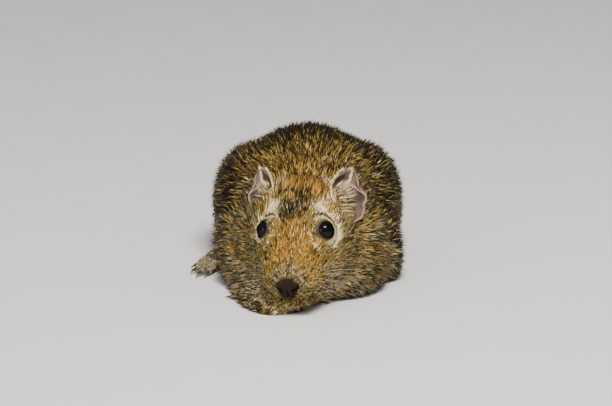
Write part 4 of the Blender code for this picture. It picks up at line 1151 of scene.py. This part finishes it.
def hindFootTubes(side):
    heel, spread, thin = footForm["heel"][side], footForm["spread"][side], footForm["skinDepth"]

    def run(path):
        return footPlace(side, heel, spread, path)

    flesh = [tubeAlong(run([(-2, 0, 4.4), (2, 0, 5.0), (9, 0, 4.8), (16, 0.2, 4.2), (21, 0.2, 3.4)]),
                       np.array((2.6, 4.3, 4.2, 5.2, 4.6)) - thin, 18, 20, 0.8),
             tubeAlong(run([(5, 0, 6.0), (5, -1, 10), (7, -3, 14)]), np.array((4.2, 4.4, 4.6)) - thin, 8, 16)]
    claws = []
    toes = ((14.5, -4.2, 7.0, -2.6), (18.5, -3.0, 12.0, -5.0), (19.5, -0.4, 13.5, -5.2),
            (18.5, 2.3, 13.0, -3.2), (15.0, 4.3, 11.5, -0.6))
    for start, root, length, swing in toes:
        path = run([(start + length * t, root + swing * t, 2.6 + 1.5 * math.sin(math.pi * t) - 1.1 * t)
                    for t in (0, 0.35, 0.7, 1)])
        toe = tubeAlong(path, np.array((1.9, 1.7, 1.6, 1.3)) - thin, 14, 14)
        flesh.append(roundEnds(toe, 0.8))
        on = footForm["claw"] / length
        path = run([(start + length * (1 + on * t), root + swing * (1 + on * t),
                     1.9 + 0.5 * math.sin(2.2 * t) - 1.3 * t * t) for t in (-0.25, 0.2, 0.65, 1)])
        claws.append(tubeAlong(path, (0.72, 0.7, 0.42, 0.1), 10, 10))
    return flesh, claws


def forePawTubes(side):
    wrist, spread, thin = footForm["wrist"][side], footForm["pawSpread"][side], footForm["skinDepth"] * 0.7

    def run(path):
        return footPlace(side, wrist, spread, path)

    flesh = [roundEnds(tubeAlong(run([(0.3, 0, 3.0), (2.5, 0, 2.8), (5.5, 0, 2.4)]),
                                 np.array((2.9, 3.3, 3.0)) - thin, 8, 16, 0.8), 0.5)]
    claws = []
    for root, length, swing in ((-2.4, 4.5, -1.2), (-0.8, 6.3, -0.4), (0.9, 6.3, 0.5), (2.4, 4.8, 1.4)):
        path = run([(4.6 + length * t, root + swing * t, 1.9 + 0.6 * math.sin(math.pi * t) - 0.7 * t)
                    for t in (0, 0.5, 1)])
        flesh.append(roundEnds(tubeAlong(path, np.array((1.2, 1.1, 0.9)) - thin, 8, 12), 0.8))
        tip = 4.6 + length
        path = run([(tip + 2.6 * t, root + swing * (1 + 0.3 * t), 1.25 - 0.75 * t * t)
                    for t in (-0.25, 0.4, 1)])
        claws.append(tubeAlong(path, (0.5, 0.42, 0.1), 8, 8))
    return flesh, claws


def mergedFlesh(name, tubes):
    # the tubes are merged by a fine voxel remesh and smoothed, so webs fill the forks
    rough = joinTubes(name + "Rough", tubes)
    remesh = rough.modifiers.new("merge", "REMESH")
    remesh.mode = "VOXEL"
    remesh.voxel_size = footForm["voxel"] * mm
    relax = rough.modifiers.new("relax", "SMOOTH")
    relax.iterations = 4
    relax.factor = 0.5
    view = bpy.context.evaluated_depsgraph_get()
    view.update()
    mesh = bpy.data.meshes.new_from_object(rough.evaluated_get(view))
    bpy.data.objects.remove(rough)
    mesh.name = name
    co = np.zeros(len(mesh.vertices) * 3, np.float32)
    mesh.vertices.foreach_get("co", co)
    co = co.reshape(-1, 3)
    co[:, 2] = np.maximum(co[:, 2], 0.05 * mm)
    mesh.vertices.foreach_set("co", co.reshape(-1))
    mesh.update()
    mesh.shade_smooth()
    made = bpy.data.objects.new(name, mesh)
    bpy.context.scene.collection.objects.link(made)
    return made


def footHair(flesh, side, spread, draw):
    # short grey hair on the upper sides of a foot, lying towards the toes
    mesh = flesh.data
    count = len(mesh.polygons)
    centres, normals, areas = (np.zeros(count * size, np.float32) for size in (3, 3, 1))
    for key, values in (("center", centres), ("normal", normals), ("area", areas)):
        mesh.polygons.foreach_get(key, values)
    centres, normals = centres.reshape(-1, 3) / mm, normals.reshape(-1, 3).astype(float)
    share = areas * ramp(normals[:, 2], -0.35, 0.2)
    number = int(share.sum() / mm**2 * footForm["hairs"])
    chosen = draw.choice(count, number, p=share / share.sum())
    roots, facing = centres[chosen] + draw.normal(0, 0.12, (number, 3)), normals[chosen]
    out = math.radians(spread)
    ways = np.array([side * math.sin(out), -math.cos(out), -0.15]) + 0.3 * draw.normal(size=(number, 3))
    ways = unit(ways - facing * (ways * facing).sum(axis=1)[:, None])
    points = buildTufts(roots, facing, ways, draw.uniform(0.9, 1.7, number), draw.uniform(0.16, 0.26, number),
                        np.radians(draw.uniform(6, 18, number)), draw)
    box = roots.min(axis=0), np.ptp(roots, axis=0)
    marks = {"warm": 0.0, "dark": 0.05, "pale": 0.28, "grey": 1.0}
    tags = {key: np.full(number, value) for key, value in marks.items()}
    tags["tone"], tags["clumpTone"] = draw.uniform(0, 1, (2, number))
    hair = tuftObject(flesh.name + "Hair", points, ((roots - box[0]) / box[1])[:, :2], tags)
    place(hair, "foot_skin", coatFinish)


print("degu: feet")
footDraw = np.random.default_rng(51)
for side in (-1, 1):
    for label, node, tubes in (("hindFoot", "hindfoot", hindFootTubes), ("forePaw", "forepaw", forePawTubes)):
        flesh, claws = tubes(side)
        foot = mergedFlesh(label + sideNames[side], flesh)
        place(foot, "foot_skin", footFinish, node + nodeSides[side])
        footHair(foot, side, footForm["spread" if node == "hindfoot" else "pawSpread"][side], footDraw)
        for rings in claws:
            rings[..., 2] = np.maximum(rings[..., 2], 0.03)
        place(joinTubes(label + "Claws" + sideNames[side], claws), "foot_skin", clawFinish)


# Tail

tailForm = {
    "length": 102.0, "root": (0.0, 68.0, 8.0), "rootRadius": 4.0, "tipRadius": 1.7,
    "bare": 0.66, "coreEnd": 0.91,    # where the brush begins and the skin ends, as shares of the length
    "skinDepth": 0.5, "hairs": 9000, "hairLength": 2.4, "brushHairs": 5200, "brushLength": 13.0, "seed": 21,
}


def tailPath(t):
    # down from the rump to the floor, then straight back in a slack double bend
    radius = tailRadius(t)
    x = tailForm["root"][0] + 5.0 * np.sin(2.6 * math.pi * t) * t
    y = tailForm["root"][1] - 5.0 + tailForm["length"] * t
    drop = np.clip(t / 0.22, 0, 1)
    z = radius * 0.92 + (tailForm["root"][2] - radius * 0.92) * (1 - drop * drop * (3 - 2 * drop))
    return np.stack([x, y, z], axis=-1)


def tailRadius(t):
    start, end = tailForm["rootRadius"], tailForm["tipRadius"]
    return start + (end - start) * np.clip(t * 1.3, 0, 1) ** 0.8


def tailRings():
    t = np.linspace(-0.1, tailForm["coreEnd"], 110)
    rings = tubeRings(tailPath(t), tailRadius(t) - tailForm["skinDepth"], 20)
    rings[..., 2] = np.maximum(rings[..., 2], 0.3)
    return rings, t


def makeTail():
    rings, t = tailRings()
    tail = joinTubes("tailSkin", [rings])
    place(tail, "coat", footFinish, "tail_base", "tail_mid")
    normals = gridNormals(rings)
    if (normals[:, 0] * (rings[:, 0] - rings.mean(axis=1))).sum() < 0:
        normals = -normals
    draw = np.random.default_rng(tailForm["seed"])
    for name, key, brush in (("tailHair", "hairs", False), ("tailBrush", "brushHairs", True)):
        count = tailForm[key]
        if brush:
            grow = ramp(t, tailForm["bare"] - 0.1, tailForm["bare"]) * (0.6 + 1.2 * ramp(t, 0.8, 0.91))
        else:
            grow = 1 - ramp(t, tailForm["bare"], tailForm["coreEnd"])
        roots, facing, row, column = sampleGrid(rings, normals, np.repeat(grow[:, None], 20, 1), count, draw)
        at = np.interp(row, np.arange(len(t)), t)
        on = unit(tailPath(at + 0.01) - tailPath(at))
        ways = unit(on - facing * (on * facing).sum(axis=1)[:, None] + 0.15 * draw.normal(size=roots.shape))
        share = ramp(at, tailForm["bare"] - 0.08, 0.8)
        long = tailForm["hairLength"] + 2 * share
        if brush:
            long = tailForm["brushLength"] * (0.45 + 0.55 * share)
        lengths = long * draw.uniform(0.7, 1.15, count)
        lifts = np.radians(draw.uniform(8, 24 if brush else 18, count))
        widths = draw.uniform(0.22, 0.4, count) * (1.1 if brush else 0.8)
        points = buildTufts(roots, facing, ways, lengths, widths, lifts, draw, 0.3)
        patches = np.stack([column / 20, row / len(t)], axis=-1)
        tags = {"tone": draw.uniform(0, 1, count)}
        if not brush:
            tags |= {"clumpTone": draw.uniform(0, 1, count), "warm": np.full(count, 0.2),
                     "dark": 0.15 + 0.8 * share, "pale": 0.25 * ramp(-facing[:, 2], 0, 0.6),
                     "grey": np.full(count, 0.4)}
        hair = tuftObject(name, points, patches, tags)
        if brush:
            place(hair, "tail_brush", brushFinish, "tail_tuft")
        else:
            place(hair, "coat", coatFinish)


print("degu: tail")
makeTail()


# Whiskers

whiskerForm = {"perSide": 16, "length": (12, 30), "thickness": 0.09, "sag": 0.16, "seed": 9}


def makeWhiskers():
    # four rows on each upper lip; each whisker is a thin tapered arc that sags by its length squared
    draw = np.random.default_rng(whiskerForm["seed"])
    tubes, tones = [], []
    for side in (-1, 1):
        for k in range(whiskerForm["perSide"]):
            row, step = divmod(k, 4)
            root = onHead((side * (6.4 + 1.1 * step), 3.4 + 1.9 * step, -1.2 - 1.3 * row))
            way = np.array([side * (0.9 + 0.1 * step), -0.25 + 0.18 * step, 0.30 - 0.24 * row])
            way = unit(way + draw.normal(0, 0.06, 3))
            start = onHead(inHead(root) * np.array([0.8, 1, 1.0]))
            length = np.interp(step, (0, 3), whiskerForm["length"]) * draw.uniform(0.8, 1.1)
            t = np.linspace(0, 1, 9)[:, None]
            sag = np.array([0, 0.12, -1.0]) * whiskerForm["sag"]
            path = start + (way @ headAxes) * length * t + sag * length * t**2
            path[:, 2] = np.maximum(path[:, 2], 0.3)
            tubes.append(tubeRings(path, whiskerForm["thickness"] * (1 - 0.85 * t[:, 0]), 4))
            tone = draw.uniform(0, 0.25) if side < 0 and row < 2 else draw.uniform(0.4, 1)
            tones.append(np.full(9 * 4 + 2, tone))
    whiskers = joinTubes("whiskers", tubes)
    whiskers.data.attributes.new("tone", "FLOAT", "POINT").data.foreach_set(
        "value", np.concatenate(tones).astype(np.float32))
    place(whiskers, "coat", whiskerFinish)


print("degu: whiskers")
makeWhiskers()


# Floor, light and camera

stageSetup = {
    "floorSize": 3.0, "sky": (0.84, 0.85, 0.86, 1), "skyStrength": 0.5,
    # name, place and aim in m, size in m, power in W, colour
    "lights": [("keyLight", (0.15, -0.45, 0.95), (0, 0, 0.03), 0.35, 17.0, (1.0, 0.96, 0.90)),
               ("fillLight", (-0.8, -0.9, 0.45), (0, -0.03, 0.03), 0.6, 4.0, (0.94, 0.97, 1.0))],
}
cameraSetup = {   # width is what the picture spans at the target, in m
    "elevation": 16.0, "distance": 1.4, "target": (0.0, -0.043, 0.045), "width": 0.257, "sensor": 36.0,
}


def makeFloor():
    half = stageSetup["floorSize"] / 2 / mm
    points = np.array([(-half, -half, 0), (half, -half, 0), (half, half, 0), (-half, half, 0)], float)
    floor = makeMesh("floor", points, [np.array([(0, 1, 2, 3)])])
    floor.data.materials.append(floorMaterial())


def makeLight(name, place, aim, size, power, colour):
    light = bpy.data.lights.new(name, "AREA")
    light.size = size
    light.energy = power
    light.color = colour
    made = bpy.data.objects.new(name, light)
    bpy.context.scene.collection.objects.link(made)
    made.location = place
    made.rotation_euler = (Vector(aim) - made.location).to_track_quat("-Z", "Y").to_euler()


def makeCamera():
    # straight in front of the animal, above it by the elevation
    tilt = math.radians(cameraSetup["elevation"])
    camera = bpy.data.cameras.new("camera")
    camera.sensor_width = cameraSetup["sensor"]
    camera.lens = cameraSetup["sensor"] * cameraSetup["distance"] / cameraSetup["width"]
    camera.clip_start = 0.05
    made = bpy.data.objects.new("camera", camera)
    bpy.context.scene.collection.objects.link(made)
    x, y, z = cameraSetup["target"]
    distance = cameraSetup["distance"]
    made.location = (x, y - distance * math.cos(tilt), z + distance * math.sin(tilt))
    made.rotation_euler = (math.pi / 2 - tilt, 0, 0)
    bpy.context.scene.camera = made


def makeWorld():
    world = bpy.data.worlds.new("studio")
    world.use_nodes = True
    world.node_tree.nodes["Background"].inputs["Color"].default_value = stageSetup["sky"]
    world.node_tree.nodes["Background"].inputs["Strength"].default_value = stageSetup["skyStrength"]
    bpy.context.scene.world = world


print("degu: stage")
makeFloor()
makeWorld()
for given in stageSetup["lights"]:
    makeLight(*given)
makeCamera()
